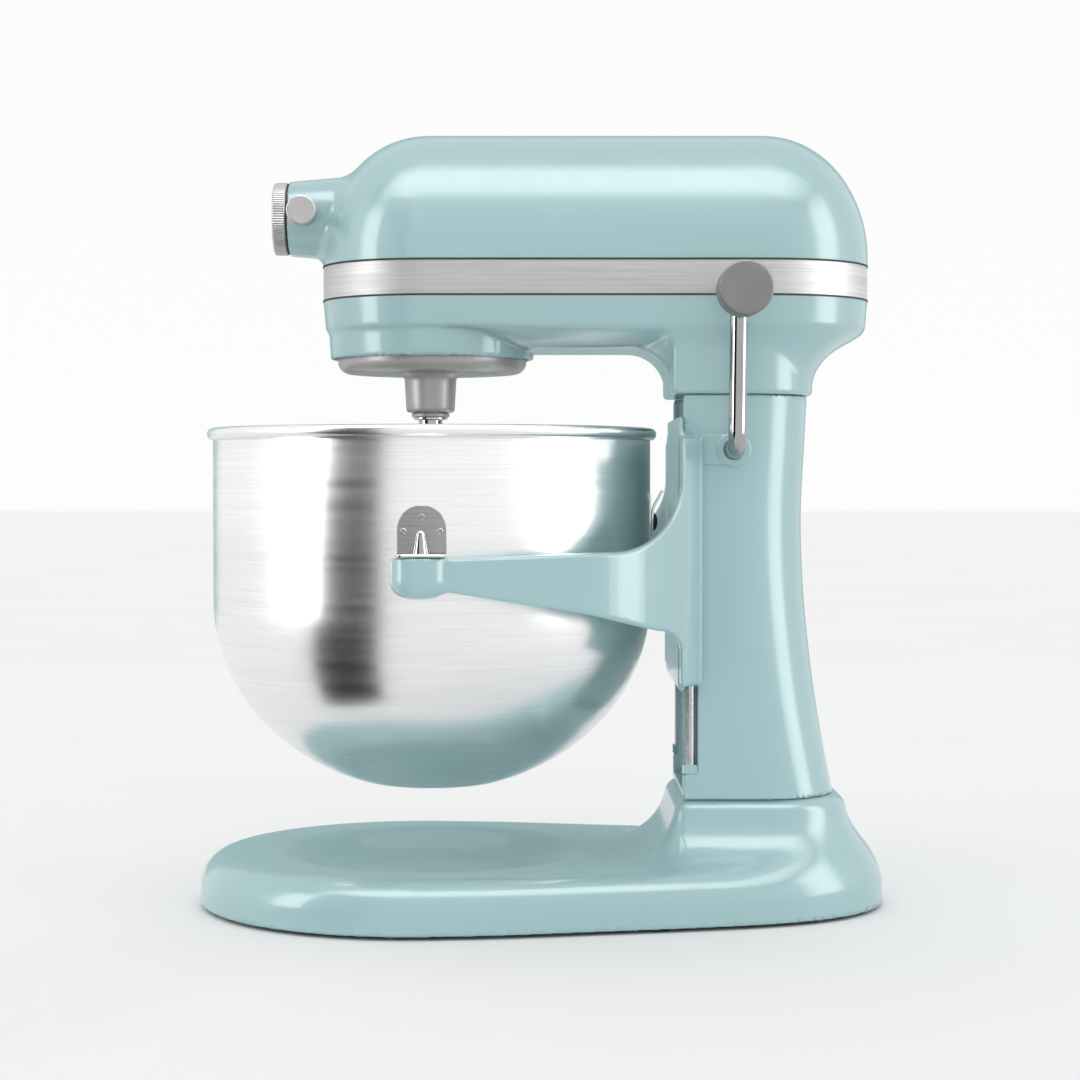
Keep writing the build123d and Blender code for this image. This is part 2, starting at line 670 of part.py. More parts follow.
# ---------------- lift lever ----------------
def make_lever_rod():
    """Bent rod: pivot shaft, vertical handle rod and knob spigot in one piece."""
    lean = 1.0
    path = FilletPolyline(
        (-COLUMN_HALF_WIDTH + 6, LEVER_PIVOT_Y, LEVER_PIVOT_Z),
        (LEVER_ROD_X, LEVER_PIVOT_Y, LEVER_PIVOT_Z),
        (LEVER_ROD_X, LEVER_PIVOT_Y + lean, LEVER_TOP_Z),
        (LEVER_ROD_X + 30, LEVER_PIVOT_Y + lean, LEVER_TOP_Z),
        radius=9.0,
    )
    start = Plane(origin=path @ 0, z_dir=path % 0)
    return sweep(start * Circle(LEVER_ROD_RADIUS), path=path)


def make_lever_knob():
    """Round knob on the end of the lever."""
    y = LEVER_PIVOT_Y + 1.0
    x = LEVER_ROD_X + 10.0
    knob = cyl(LEVER_KNOB_RADIUS, (x, y, LEVER_TOP_Z), (x + 29.0, y, LEVER_TOP_Z))
    knob = chamfer(knob.edges(), 1.2)
    return knob - cyl(LEVER_ROD_RADIUS, (x - 1, y, LEVER_TOP_Z), (LEVER_ROD_X + 30, y, LEVER_TOP_Z))


def crank_pin_place():
    """(y, z) of the crank roller with the bowl raised."""
    return LEVER_PIVOT_Y + CRANK_RADIUS * cos(CRANK_ANGLE), LEVER_PIVOT_Z + CRANK_RADIUS * sin(CRANK_ANGLE)


def make_crank():
    """Crank arm clamped on the pivot shaft, beside the lift fork."""
    pin_y, pin_z = crank_pin_place()
    hub = cyl(9.0, (10.0, LEVER_PIVOT_Y, LEVER_PIVOT_Z), (18.0, LEVER_PIVOT_Y, LEVER_PIVOT_Z))
    eye = cyl(6.0, (10.0, pin_y, pin_z), (15.0, pin_y, pin_z))
    dy = (pin_y - LEVER_PIVOT_Y) / CRANK_RADIUS
    dz = (pin_z - LEVER_PIVOT_Z) / CRANK_RADIUS
    corners = [
        (LEVER_PIVOT_Y - dz * 7, LEVER_PIVOT_Z + dy * 7),
        (pin_y - dz * 5, pin_z + dy * 5),
        (pin_y + dz * 5, pin_z - dy * 5),
        (LEVER_PIVOT_Y + dz * 7, LEVER_PIVOT_Z - dy * 7),
    ]
    web = side_plate(corners, 10.0, 15.0)
    arm = hub + eye + web
    arm = arm - cyl(
        LEVER_ROD_RADIUS, (0, LEVER_PIVOT_Y, LEVER_PIVOT_Z), (30, LEVER_PIVOT_Y, LEVER_PIVOT_Z)
    )
    return arm - cyl(2.0, (0, pin_y, pin_z), (30, pin_y, pin_z))


def make_crank_roller():
    """Roller on a pin that pushes the lift fork up and down."""
    pin_y, pin_z = crank_pin_place()
    roller = cyl(4.2, (-6.0, pin_y, pin_z), (9.6, pin_y, pin_z))
    return roller + cyl(2.0, (9.6, pin_y, pin_z), (15.5, pin_y, pin_z))


# ---------------- head castings ----------------
def make_lower_case():
    """Lower head casting: walls, collar, floor, bearing tower and hollow neck."""
    step_x = HEAD_RADIUS - BAND_THICK - 0.3
    wall = [(0, CASE_UNDERSIDE_Z), (54.0, CASE_UNDERSIDE_Z), (58.0, CASE_WALL_BOTTOM_Z), (58.9, 312.0)]
    wall += [(HEAD_RADIUS, BAND_BOTTOM_Z), (step_x, BAND_BOTTOM_Z), (step_x, PARTING_Z), (0, PARTING_Z)]
    body = stadium(profile_lines(wall))
    body = body + cyl(COLLAR_RADIUS, (0, BOWL_AXIS_Y, COLLAR_BOTTOM_Z), (0, BOWL_AXIS_Y, 320))
    neck_rows = [
        (COLUMN_TOP_Z + 0.2, NECK_FRONT_Y, 147.3, 53.0, 40.0),
        (284.0, NECK_FRONT_Y, 148.6, 53.2, 41.0),
        (290.0, NECK_FRONT_Y, 151.6, 53.8, 43.0),
        (296.4, NECK_FRONT_Y, 155.4, 55.0, 46.0),
        (303.0, NECK_FRONT_Y, 163.5, 57.0, 52.0),
        (309.5, NECK_FRONT_Y, 174.8, 58.6, 57.0),
        (316.0, NECK_FRONT_Y, 177.6, 59.0, 58.4),
    ]
    neck = Solid.make_loft([d_section(*row) for row in neck_rows], ruled=True)
    fillet_arc = arc_points((NECK_FRONT_Y - 21.0, 280.0), 21.0, 0, 90, 9)
    fillet = side_plate(fillet_arc + [(NECK_FRONT_Y + 1, 303), (NECK_FRONT_Y + 1, 280)], -52.5, 52.5)
    body = body + neck + fillet
    inner_x = HEAD_RADIUS - HEAD_WALL
    cavity = stadium(
        profile_lines(
            [(0, CASE_FLOOR_Z + 5), (50, CASE_FLOOR_Z + 5), (inner_x, 322), (inner_x, 340), (0, 340)]
        )
    )
    body = body - cavity
    shaft_space_rows = [
        (270.0, 90.0, 140.0, 44.0, 34.0), (300.0, 90.0, 146.0, 46.0, 36.0),
        (325.0, 90.0, 165.0, 52.0, 48.0)
    ]
    body = body - Solid.make_loft([d_section(*row) for row in shaft_space_rows], ruled=True)
    body = body - cyl(COLLAR_BORE_RADIUS, (0, BOWL_AXIS_Y, 290), (0, BOWL_AXIS_Y, CASE_FLOOR_Z))
    tower = cyl(17.0, (0, BOWL_AXIS_Y, CASE_FLOOR_Z), (0, BOWL_AXIS_Y, 343.5))
    body = body + tower
    body = body - cyl(13.0, (0, BOWL_AXIS_Y, CASE_FLOOR_Z - 1), (0, BOWL_AXIS_Y, CASE_FLOOR_Z + 8))
    body = body - cyl(13.0, (0, BOWL_AXIS_Y, 335.5), (0, BOWL_AXIS_Y, 345))
    body = body - cyl(8.0, (0, BOWL_AXIS_Y, 300), (0, BOWL_AXIS_Y, 345))
    for x, y in NECK_BOLT_SPOTS:
        body = body + cyl(8.5, (x, y, COLUMN_TOP_Z + 0.2), (x, y, 294))
        body = body - cyl(3.0, (x, y, COLUMN_TOP_Z - 1), (x, y, 292))
    for x, y in RING_SCREW_SPOTS:
        body = body - cyl(1.9, (x, y, CASE_FLOOR_Z - 1), (x, y, CASE_FLOOR_Z + 4))
    for x, y in BRACKET_SCREW_SPOTS:
        body = body - cyl(2.0, (x, y, 305), (x, y, 315))
    body = body - cyl(MOTOR_CORE_RADIUS + 1.2, (0, 54, MOTOR_Z), (0, 133, MOTOR_Z))
    body = body - box((-62.0, SPEED_SLOT[0], 315.6), (-50.0, SPEED_SLOT[1], 320.4))
    return body


RING_SCREW_SPOTS = [
    (46.0 * cos(radians(a)), BOWL_AXIS_Y + 46.0 * sin(radians(a))) for a in (60, 180, 300)
]
SPEED_SLOT = (8.0, 58.0)


def make_upper_housing():
    """Upper head casting with its attachment hub."""
    step_inset = BAND_THICK + 0.3
    outside = stadium(crown_profile(0, PARTING_Z, BAND_TOP_Z, step_inset))
    barrel_points = [
        (HUB_FRONT_Y, 0.0),
        (HUB_FRONT_Y, HUB_OUTER_RADIUS),
        (-124.0, 20.8),
        (-117.0, 22.6),
        (-112.0, 26.0),
        (-108.0, 32.0),
        (-90.0, 33.0),
        (-90.0, 0.0),
    ]
    outline = [Vector(r, y, HUB_Z) for y, r in barrel_points]
    wire = Wire.make_polygon(outline, close=True)
    barrel = Solid.revolve(Face(wire), 360, Axis((0, 0, HUB_Z), (0, 1, 0)))
    inside = stadium(crown_profile(HEAD_WALL, PARTING_Z - 1))
    body = outside + barrel - inside
    sleeve = cyl(21.0, (0, HUB_FRONT_Y + 2, HUB_Z), (0, HUB_WEB_END_Y, HUB_Z))
    body = body + sleeve
    body = body - cyl(HUB_BORE_RADIUS, (0, HUB_FRONT_Y - 1, HUB_Z), (0, HUB_BORE_END_Y, HUB_Z))
    body = body - cyl(12.0, (0, HUB_BORE_END_Y - 1, HUB_Z), (0, HUB_WEB_END_Y + 1, HUB_Z))
    body = body - cyl(3.3, (10, HUB_KNOB_Y, HUB_Z + 1), (30, HUB_KNOB_Y, HUB_Z + 1))
    return body


def make_trim_band():
    """Brushed band that covers the joint between the head castings."""
    outer_x = HEAD_RADIUS - 0.1
    inner_x = HEAD_RADIUS - BAND_THICK
    gap = 0.5
    outside = stadium(
        profile_lines(
            [
                (0, BAND_BOTTOM_Z + gap), (outer_x, BAND_BOTTOM_Z + gap),
                (outer_x, BAND_TOP_Z - gap), (0, BAND_TOP_Z - gap)
            ]
        )
    )
    inside = stadium(
        profile_lines(
            [(0, BAND_BOTTOM_Z), (inner_x, BAND_BOTTOM_Z), (inner_x, BAND_TOP_Z), (0, BAND_TOP_Z)]
        )
    )
    return outside - inside


def make_hub_cap():
    """Round cover with ribbed grips that closes the hub."""
    disc = cyl(20.4, (0, HUB_CAP_FRONT_Y, HUB_Z), (0, HUB_FRONT_Y - 0.6, HUB_Z))
    for side in (-1, 1):
        for i in range(9):
            z = HUB_Z - 10 + i * 2.5
            depth = sqrt(20.4 ** 2 - (z - HUB_Z) ** 2)
            x = side * depth
            disc = disc - cyl(0.55, (x, HUB_CAP_FRONT_Y - 1, z), (x, HUB_FRONT_Y, z))
    return disc


def make_hub_knob():
    """Thumb screw that clamps attachments in the hub."""
    z = HUB_Z + 1
    head = cyl(8.0, (25.0, HUB_KNOB_Y, z), (38.5, HUB_KNOB_Y, z))
    head = chamfer(head.edges(), 0.9)
    return head + cyl(3.25, (17.9, HUB_KNOB_Y, z), (25.5, HUB_KNOB_Y, z))


# ---------------- planetary and beater drive ----------------
def make_planetary():
    """Rotating disc with an offset boss that carries the beater shaft."""
    disc_points = [
        (0, 288.6), (36, 288.0), (47.5, 288.8), (50.6, 291.4), (51.4, 294.5), (51.4, 298.0),
        (0, 298.0)
    ]
    disc = spin(disc_points, BOWL_AXIS_Y)
    boss_points = [
        (0, 267.0), (12.6, 267.0), (13.4, 268.0), (14.2, 281.0), (15.2, 285.2), (18.5, 289.0),
        (0, 290.0)
    ]
    boss = spin(boss_points, BOWL_AXIS_Y, PLANET_OFFSET_X)
    body = disc + boss
    hub = cyl(9.0, (0, BOWL_AXIS_Y, 298), (0, BOWL_AXIS_Y, 299.5))
    body = body + hub
    body = body - cyl(CENTRE_SHAFT_RADIUS, (0, BOWL_AXIS_Y, 289.5), (0, BOWL_AXIS_Y, 300))
    return body - cyl(
        BEATER_JOURNAL_RADIUS + RUN_CLEARANCE, (PLANET_OFFSET_X, BOWL_AXIS_Y, 260),
        (PLANET_OFFSET_X, BOWL_AXIS_Y, 300)
    )


def make_centre_shaft():
    """Vertical shaft from the planetary up to the large bevel gear."""
    return cyl(CENTRE_SHAFT_RADIUS, (0, BOWL_AXIS_Y, 289.5), (0, BOWL_AXIS_Y, 357.0))


def make_bevel_gear():
    """Large bevel gear, teeth up, pinned to the centre shaft."""
    reach = BEVEL_GEAR_TEETH * BEVEL_MODULE / 2
    web = spin(
        [
            (CENTRE_SHAFT_RADIUS, 344.6), (12, 344.6), (12, 350), (30, 351), (reach + 1.2, 351.0),
            (reach + 1.2, 355.4), (reach - BEVEL_FACE, 358.2), (reach - BEVEL_FACE - 1, 354.5),
            (CENTRE_SHAFT_RADIUS, 354.5)
        ],
        BOWL_AXIS_Y
    )
    teeth = [crown_tooth(i) for i in range(BEVEL_GEAR_TEETH)]
    return web.fuse(*teeth)


def make_bearings():
    """Two ball bearings that hold the centre shaft, as plain rings."""
    bearings = []
    for low, high in ((CASE_FLOOR_Z, CASE_FLOOR_Z + 8), (335.5, 343.5)):
        outer_race = ring(13.0, 10.6, (0, BOWL_AXIS_Y, low), (0, BOWL_AXIS_Y, high))
        inner_race = ring(
            8.4, CENTRE_SHAFT_RADIUS + RUN_CLEARANCE, (0, BOWL_AXIS_Y, low), (0, BOWL_AXIS_Y, high)
        )
        balls = []
        middle = (low + high) / 2
        for i in range(8):
            a = 2 * pi * i / 8
            place = Location((9.5 * cos(a), BOWL_AXIS_Y + 9.5 * sin(a), middle))
            balls.append(Solid.make_sphere(2.2).moved(place))
        cage = ring(10.0, 9.0, (0, BOWL_AXIS_Y, middle - 2.6), (0, BOWL_AXIS_Y, middle + 2.6))
        bearings.append((outer_race + inner_race + cage).fuse(*balls))
    return bearings


def make_ring_gear():
    """Internal ring gear screwed under the case floor."""
    top = CASE_FLOOR_Z
    blank = cyl(50.5, (0, BOWL_AXIS_Y, top - 8.5), (0, BOWL_AXIS_Y, top))
    plane = Plane(origin=(0, BOWL_AXIS_Y, top - 9), x_dir=(1, 0, 0), z_dir=(0, 0, 1))
    share = 2 - TOOTH_BACKLASH
    gap = spur_gear(RING_TEETH, PLANET_MODULE, plane, 10, share, 1.25, 0.8)
    body = blank - gap
    for x, y in RING_SCREW_SPOTS:
        body = body - cyl(2.1, (x, y, top - 10), (x, y, top + 1))
    return body


def make_planet_pinion():
    """Pinion on the beater shaft that rolls inside the ring gear."""
    plane = Plane(origin=(PLANET_OFFSET_X, BOWL_AXIS_Y, 301.0), x_dir=(1, 0, 0), z_dir=(0, 0, 1))
    gear = spur_gear(PLANET_TEETH, PLANET_MODULE, plane, 7.5)
    return gear - cyl(
        BEATER_JOURNAL_RADIUS, (PLANET_OFFSET_X, BOWL_AXIS_Y, 300),
        (PLANET_OFFSET_X, BOWL_AXIS_Y, 310)
    )


def make_beater_shaft():
    """Chrome output shaft, with a shallow groove where the cross pin passes."""
    x = PLANET_OFFSET_X
    free_end = cyl(BEATER_SHAFT_RADIUS, (x, BOWL_AXIS_Y, BEATER_END_Z), (x, BOWL_AXIS_Y, 262.8))
    free_end = chamfer(free_end.edges().filter_by(GeomType.CIRCLE).sort_by(Axis.Z)[0], 1.0)
    groove_low = (x, BOWL_AXIS_Y, BEATER_PIN_Z - 2.8)
    groove_high = (x, BOWL_AXIS_Y, BEATER_PIN_Z + 2.8)
    free_end = free_end - ring(
        BEATER_SHAFT_RADIUS + 1, BEATER_SHAFT_RADIUS - 0.45, groove_low, groove_high
    )
    shaft = free_end + cyl(BEATER_JOURNAL_RADIUS, (x, BOWL_AXIS_Y, 262.8), (x, BOWL_AXIS_Y, 308.5))
    return shaft - cyl(2.0, (x, BOWL_AXIS_Y - 20, BEATER_PIN_Z), (x, BOWL_AXIS_Y + 20, BEATER_PIN_Z))


def make_beater_pin():
    """Cross pin that an attachment twists onto."""
    x = PLANET_OFFSET_X
    return cyl(2.0, (x, BOWL_AXIS_Y - 9.5, BEATER_PIN_Z), (x, BOWL_AXIS_Y + 9.5, BEATER_PIN_Z))


def make_beater_washers():
    """Rubber washer and retaining clip below the planetary boss."""
    x = PLANET_OFFSET_X
    rubber = ring(10.2, BEATER_JOURNAL_RADIUS, (x, BOWL_AXIS_Y, 264.6), (x, BOWL_AXIS_Y, 266.7))
    clip = ring(9.2, BEATER_JOURNAL_RADIUS, (x, BOWL_AXIS_Y, 263.0), (x, BOWL_AXIS_Y, 264.5))
    return [rubber, clip]


def make_hub_drive():
    """Short shaft with a square socket, which ends behind the floor of the hub's bore."""
    front = HUB_BORE_END_Y + 0.5
    shaft = cyl(HUB_SHAFT_RADIUS, (0, front, HUB_Z), (0, -94.5, HUB_Z))
    socket = box((-4.4, front - 1, HUB_Z - 4.4), (4.4, front + 9, HUB_Z + 4.4))
    return shaft - socket


def make_hub_bush():
    """Bronze bush pressed in the hub web."""
    return ring(
        12.0, HUB_SHAFT_RADIUS + RUN_CLEARANCE, (0, HUB_BORE_END_Y, HUB_Z),
        (0, HUB_WEB_END_Y, HUB_Z)
    )


def make_drive_shaft():
    """Intermediate shaft between the spur gear and the rear bevel pinion."""
    return cyl(6.0, (0, -23.0, HUB_Z), (0, 34.0, HUB_Z))


def make_spur_pair():
    """Reduction gear on the intermediate shaft and pinion on the motor shaft."""
    gear_plane = Plane(origin=(0, 20, HUB_Z), x_dir=(0, 0, -1), z_dir=(0, 1, 0))
    gear = spur_gear(SPUR_GEAR_TEETH, SPUR_MODULE, gear_plane, 9.0)
    gear = gear - cyl(6.0, (0, 10, HUB_Z), (0, 40, HUB_Z))
    pinion_plane = Plane(origin=(0, 19, MOTOR_Z), x_dir=(0, 0, 1), z_dir=(0, 1, 0))
    turn = 180.0 / MOTOR_PINION_TEETH
    pinion = spur_gear(MOTOR_PINION_TEETH, SPUR_MODULE, pinion_plane, 11.0)
    pinion = pinion.rotate(Axis((0, 0, MOTOR_Z), (0, 1, 0)), turn)
    pinion = pinion - cyl(4.0, (0, 10, MOTOR_Z), (0, 40, MOTOR_Z))
    return gear, pinion


def make_gear_bracket():
    """Cast bracket with two bearing eyes for the intermediate shaft."""
    body = box((-20, -8.0, 314.5), (20, 36.0, 319.0))
    for low, high in ((-6.0, 4.0), (30.5, 33.5)):
        upright = box((-12, low, 319.0), (12, high, HUB_Z))
        body = body + upright + cyl(12.0, (0, low, HUB_Z), (0, high, HUB_Z))
    body = body - cyl(6.0 + RUN_CLEARANCE, (0, -10, HUB_Z), (0, 50, HUB_Z))
    body = body - cyl(4.0 + RUN_CLEARANCE, (0, 25, MOTOR_Z), (0, 50, MOTOR_Z))
    for x, y in BRACKET_SCREW_SPOTS:
        body = body - cyl(2.0, (x, y, 314), (x, y, 320))
    return body


BRACKET_SCREW_SPOTS = [(-15, 14), (15, 14)]


# ---------------- motor ----------------
def make_field_core():
    """Laminated field core around the armature."""
    core = cyl(MOTOR_CORE_RADIUS, (0, 62, MOTOR_Z), (0, 96, MOTOR_Z))
    core = core - cyl(ARMATURE_RADIUS + 1.0, (0, 60, MOTOR_Z), (0, 98, MOTOR_Z))
    for side in (-1, 1):
        low = min(side * 23.5, side * 33.0)
        high = max(side * 23.5, side * 33.0)
        core = core - box((low, 60, MOTOR_Z - 15), (high, 98, MOTOR_Z + 15))
    return core


def make_field_coils():
    """Two wound field coils, one in each core window."""
    coils = []
    for side in (-1, 1):
        low = min(side * 24.0, side * 32.5)
        high = max(side * 24.0, side * 32.5)
        coil = box((low, 56, MOTOR_Z - 14.5), (high, 102, MOTOR_Z + 14.5))
        coils.append(coil)
    return coils


def make_armature_core():
    """Slotted armature laminations."""
    core = cyl(ARMATURE_RADIUS, (0, 62, MOTOR_Z), (0, 96, MOTOR_Z))
    for i in range(12):
        a = 2 * pi * i / 12
        slot = cyl(
            2.6, (17 * sin(a), 60, MOTOR_Z + 17 * cos(a)), (17 * sin(a), 98, MOTOR_Z + 17 * cos(a))
        )
        core = core - slot
    return core - cyl(5.0, (0, 60, MOTOR_Z), (0, 98, MOTOR_Z))


def make_armature_winding():
    """Copper end turns and slot bundles of the armature."""
    front = ring(18.5, 8.0, (0, 54.5, MOTOR_Z), (0, 62, MOTOR_Z))
    rear = ring(18.5, 8.0, (0, 96, MOTOR_Z), (0, 103, MOTOR_Z))
    bundles = []
    for i in range(12):
        a = 2 * pi * i / 12
        bundles.append(
            cyl(2.4, (17 * sin(a), 61, MOTOR_Z + 17 * cos(a)), (17 * sin(a), 97, MOTOR_Z + 17 * cos(a)))
        )
    return front.fuse(rear, *bundles)


def make_motor_shaft():
    """Stepped armature shaft."""
    front = cyl(4.0, (0, 17.0, MOTOR_Z), (0, 50, MOTOR_Z))
    middle = cyl(5.0, (0, 50, MOTOR_Z), (0, 120, MOTOR_Z))
    rear = cyl(4.0, (0, 120, MOTOR_Z), (0, MOTOR_REAR_Y - 2, MOTOR_Z))
    return front + middle + rear


def make_commutator():
    """Copper commutator with cut bars."""
    body = ring(11.0, 5.0, (0, 105, MOTOR_Z), (0, 119, MOTOR_Z))
    for i in range(12):
        a = 2 * pi * i / 12
        cut = cyl(
            0.4, (11 * sin(a), 104, MOTOR_Z + 11 * cos(a)),
            (11 * sin(a), 120, MOTOR_Z + 11 * cos(a))
        )
        body = body - cut
    return body


def make_cooling_fan():
    """Fan wheel in front of the armature."""
    hub = ring(12.0, 4.0, (0, 42.5, MOTOR_Z), (0, 49.5, MOTOR_Z))
    blades = []
    for i in range(9):
        blade = box((11.0, 43.0, MOTOR_Z - 0.8), (30.0, 49.0, MOTOR_Z + 0.8))
        blades.append(blade.rotate(Axis((0, 0, MOTOR_Z), (0, 1, 0)), 40.0 * i))
    return hub.fuse(*blades)


def make_rear_bracket():
    """Rear motor bracket with the bearing eye and two feet."""
    plate = cyl(MOTOR_CORE_RADIUS, (0, 126, MOTOR_Z), (0, 130, MOTOR_Z))
    body = plate + cyl(10.0, (0, 126, MOTOR_Z), (0, 137, MOTOR_Z))
    body = body - cyl(4.0 + RUN_CLEARANCE, (0, 120, MOTOR_Z), (0, 140, MOTOR_Z))
    for a in (45, 135, 225, 315):
        x = 26 * cos(radians(a))
        z = MOTOR_Z + 26 * sin(radians(a))
        body = body - cyl(6.0, (x, 120, z), (x, 140, z))
    return body


def make_motor_rods():
    """Four long rods that clamp the rear bracket to the field core."""
    rods = []
    for a in (60, 120, 240, 300):
        x = 34.5 * cos(radians(a))
        z = MOTOR_Z + 34.5 * sin(radians(a))
        rods.append(cyl(1.8, (x, 96, z), (x, 126, z)))
    return rods


def make_brush_holders():
    """Two brush tubes beside the commutator."""
    holders = []
    for side in (-1, 1):
        low = min(side * 12.5, side * 36.0)
        high = max(side * 12.5, side * 36.0)
        tube = box((low, 107, MOTOR_Z - 5), (high, 117, MOTOR_Z + 5))
        hole_low = min(side * 12.0, side * 33.5)
        hole_high = max(side * 12.0, side * 33.5)
        tube = tube - box((hole_low, 109, MOTOR_Z - 3), (hole_high, 115, MOTOR_Z + 3))
        foot_low = min(side * 22.0, side * 32.0)
        foot_high = max(side * 22.0, side * 32.0)
        holders.append(tube + box((foot_low, 117, MOTOR_Z - 4), (foot_high, 126, MOTOR_Z + 4)))
    return holders


def make_carbon_brushes():
    """Carbon blocks that ride on the commutator."""
    brushes = []
    for side in (-1, 1):
        low = min(side * 11.3, side * 26.0)
        high = max(side * 11.3, side * 26.0)
        brushes.append(box((low, 109.1, MOTOR_Z - 2.9), (high, 114.9, MOTOR_Z + 2.9)))
    return brushes


def make_control_board():
    """Speed control board on posts above the gear bracket's left side."""
    board = box((-50.0, 10.0, 326.0), (-26.0, 56.0, 327.6))
    chip = box((-46.0, 20.0, 327.6), (-34.0, 34.0, 337.0))
    coil = cyl(6.0, (-38.0, 46.0, 327.6), (-38.0, 46.0, 340.0))
    return board + chip + coil


def make_speed_lever():
    """Speed slider: stem through the slot and a rounded finger knob."""
    stem = box((-63.5, 12.0, 316.2), (-50.0, 20.0, 319.8))
    knob = box((-72.0, 10.0, 313.5), (-63.5, 22.0, 322.5))
    knob = fillet(knob.edges().filter_by(Axis.Z), 3.0)
    inner = box((-50.0, 9.0, 316.2), (-46.0, 23.0, 324.0))
    return stem + knob + inner


def make_screws(spots, z_head, z_end, radius, head_radius, head_height, direction):
    """Group of identical screws along Z."""
    screws = []
    for x, y in spots:
        screw = hex_screw(x, y, z_head, z_end, radius, head_radius, head_height, direction)
        screws.append(screw)
    return screws


# ---------------- write every node ----------------
def main():
    """Build and write each named piece."""
    save(make_base(), "base_casting")
    save(Compound(make_feet()), "rubber_feet")
    save(Compound(make_screws(COLUMN_BOLT_SPOTS, 44.0, 78.0, 3.0, 5.5, 4.0, -1)), "column_bolts")
    save(make_column(), "column_casting")
    save(Compound(make_guide_rods()), "guide_rods")
    save(Compound(make_rod_stops()), "guide_rod_stops")
    bush_y, bush_z = LEVER_PIVOT_Y, LEVER_PIVOT_Z
    right_bush = ring(
        7.0, LEVER_ROD_RADIUS + RUN_CLEARANCE, (38.0, bush_y, bush_z), (52.4, bush_y, bush_z)
    )
    left_bush = ring(
        7.0, LEVER_ROD_RADIUS + RUN_CLEARANCE, (-45.0, bush_y, bush_z), (-38.0, bush_y, bush_z)
    )
    save(Compound([right_bush, left_bush]), "lever_bushes")
    grommet = ring(8.0, 4.0, (0, 146.0, 86), (0, 153.5, 86))
    save(grommet, "cord_grommet")
    save(Compound(make_screws(NECK_BOLT_SPOTS, 260.0, 290.0, 3.0, 5.5, 4.0, -1)), "neck_bolts")

    save(make_carrier(), "bowl_carrier")
    save(Compound(make_locating_pins()), "locating_pins")
    save(make_lift_fork(), "lift_fork")
    save(Compound(make_fork_screws()), "lift_fork_screws")

    save(make_bowl(), "bowl")
    save(Compound(make_bowl_brackets()), "bowl_brackets")
    save(make_rear_clip(), "bowl_rear_clip")
    save(make_clip_rivet(), "bowl_clip_rivet")
    save(make_bowl_handle(), "bowl_handle")

    rod = make_lever_rod()
    save(rod, "lift_lever_rod")
    save(make_lever_knob(), "lift_lever_knob")
    save(make_crank(), "lift_crank")
    save(make_crank_roller(), "lift_crank_roller")

    save(make_lower_case(), "lower_gear_case")
    save(make_upper_housing(), "upper_housing")
    save(make_trim_band(), "trim_band")
    save(make_hub_cap(), "hub_cap")
    save(make_hub_knob(), "hub_knob")
    save(make_hub_bush(), "hub_bush")
    save(make_hub_drive(), "hub_drive_shaft")
    save(
        bevel_pinion(-1, pi / BEVEL_PINION_TEETH) - cyl(
            HUB_SHAFT_RADIUS, (0, -120, HUB_Z), (0, -80, HUB_Z)
        ),
        "hub_bevel_pinion"
    )

    save(make_planetary(), "planetary_housing")
    save(make_centre_shaft(), "centre_shaft")
    save(make_bevel_gear(), "large_bevel_gear")
    save(Compound(make_bearings()), "centre_shaft_bearings")
    save(make_ring_gear(), "ring_gear")
    save(
        Compound(
            make_screws(RING_SCREW_SPOTS, CASE_FLOOR_Z - 8.5, CASE_FLOOR_Z + 3.5, 1.9, 3.4, 1.8, -1)
        ),
        "ring_gear_screws"
    )
    save(make_planet_pinion(), "planet_pinion")
    save(make_beater_shaft(), "beater_shaft")
    save(make_beater_pin(), "beater_pin")
    save(Compound(make_beater_washers()), "beater_washers")

    save(make_drive_shaft(), "intermediate_shaft")
    save(bevel_pinion(1, 0.0) - cyl(6.0, (0, -30, HUB_Z), (0, 40, HUB_Z)), "drive_bevel_pinion")
    gear, pinion = make_spur_pair()
    save(gear, "reduction_gear")
    save(pinion, "motor_pinion")
    save(make_gear_bracket(), "gear_bracket")
    save(
        Compound(make_screws(BRACKET_SCREW_SPOTS, 319.0, 306.0, 2.0, 4.0, 2.4, 1)),
        "gear_bracket_screws"
    )

    save(make_motor_shaft(), "motor_shaft")
    save(make_armature_core(), "armature_core")
    save(make_armature_winding(), "armature_winding")
    save(make_commutator(), "commutator")
    save(make_cooling_fan(), "cooling_fan")
    save(make_field_core(), "field_core")
    save(Compound(make_field_coils()), "field_coils")
    save(make_rear_bracket(), "motor_rear_bracket")
    save(Compound(make_motor_rods()), "motor_rods")
    save(Compound(make_brush_holders()), "brush_holders")
    save(Compound(make_carbon_brushes()), "carbon_brushes")
    save(make_control_board(), "control_board")
    save(make_speed_lever(), "speed_lever")


main()
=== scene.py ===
"""Studio scene of the bowl-lift stand mixer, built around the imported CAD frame.

Shapes are worked out in millimetres in the row frame (+Z up, nose towards -Y,
lift lever on +X) and written to meshes in metres. Painted castings are implicit
surfaces with true round fillets; turned parts are lathed; straps and sheets are
built from grids.
"""

import json
from math import acos, cos, hypot, pi, radians, sin, tan

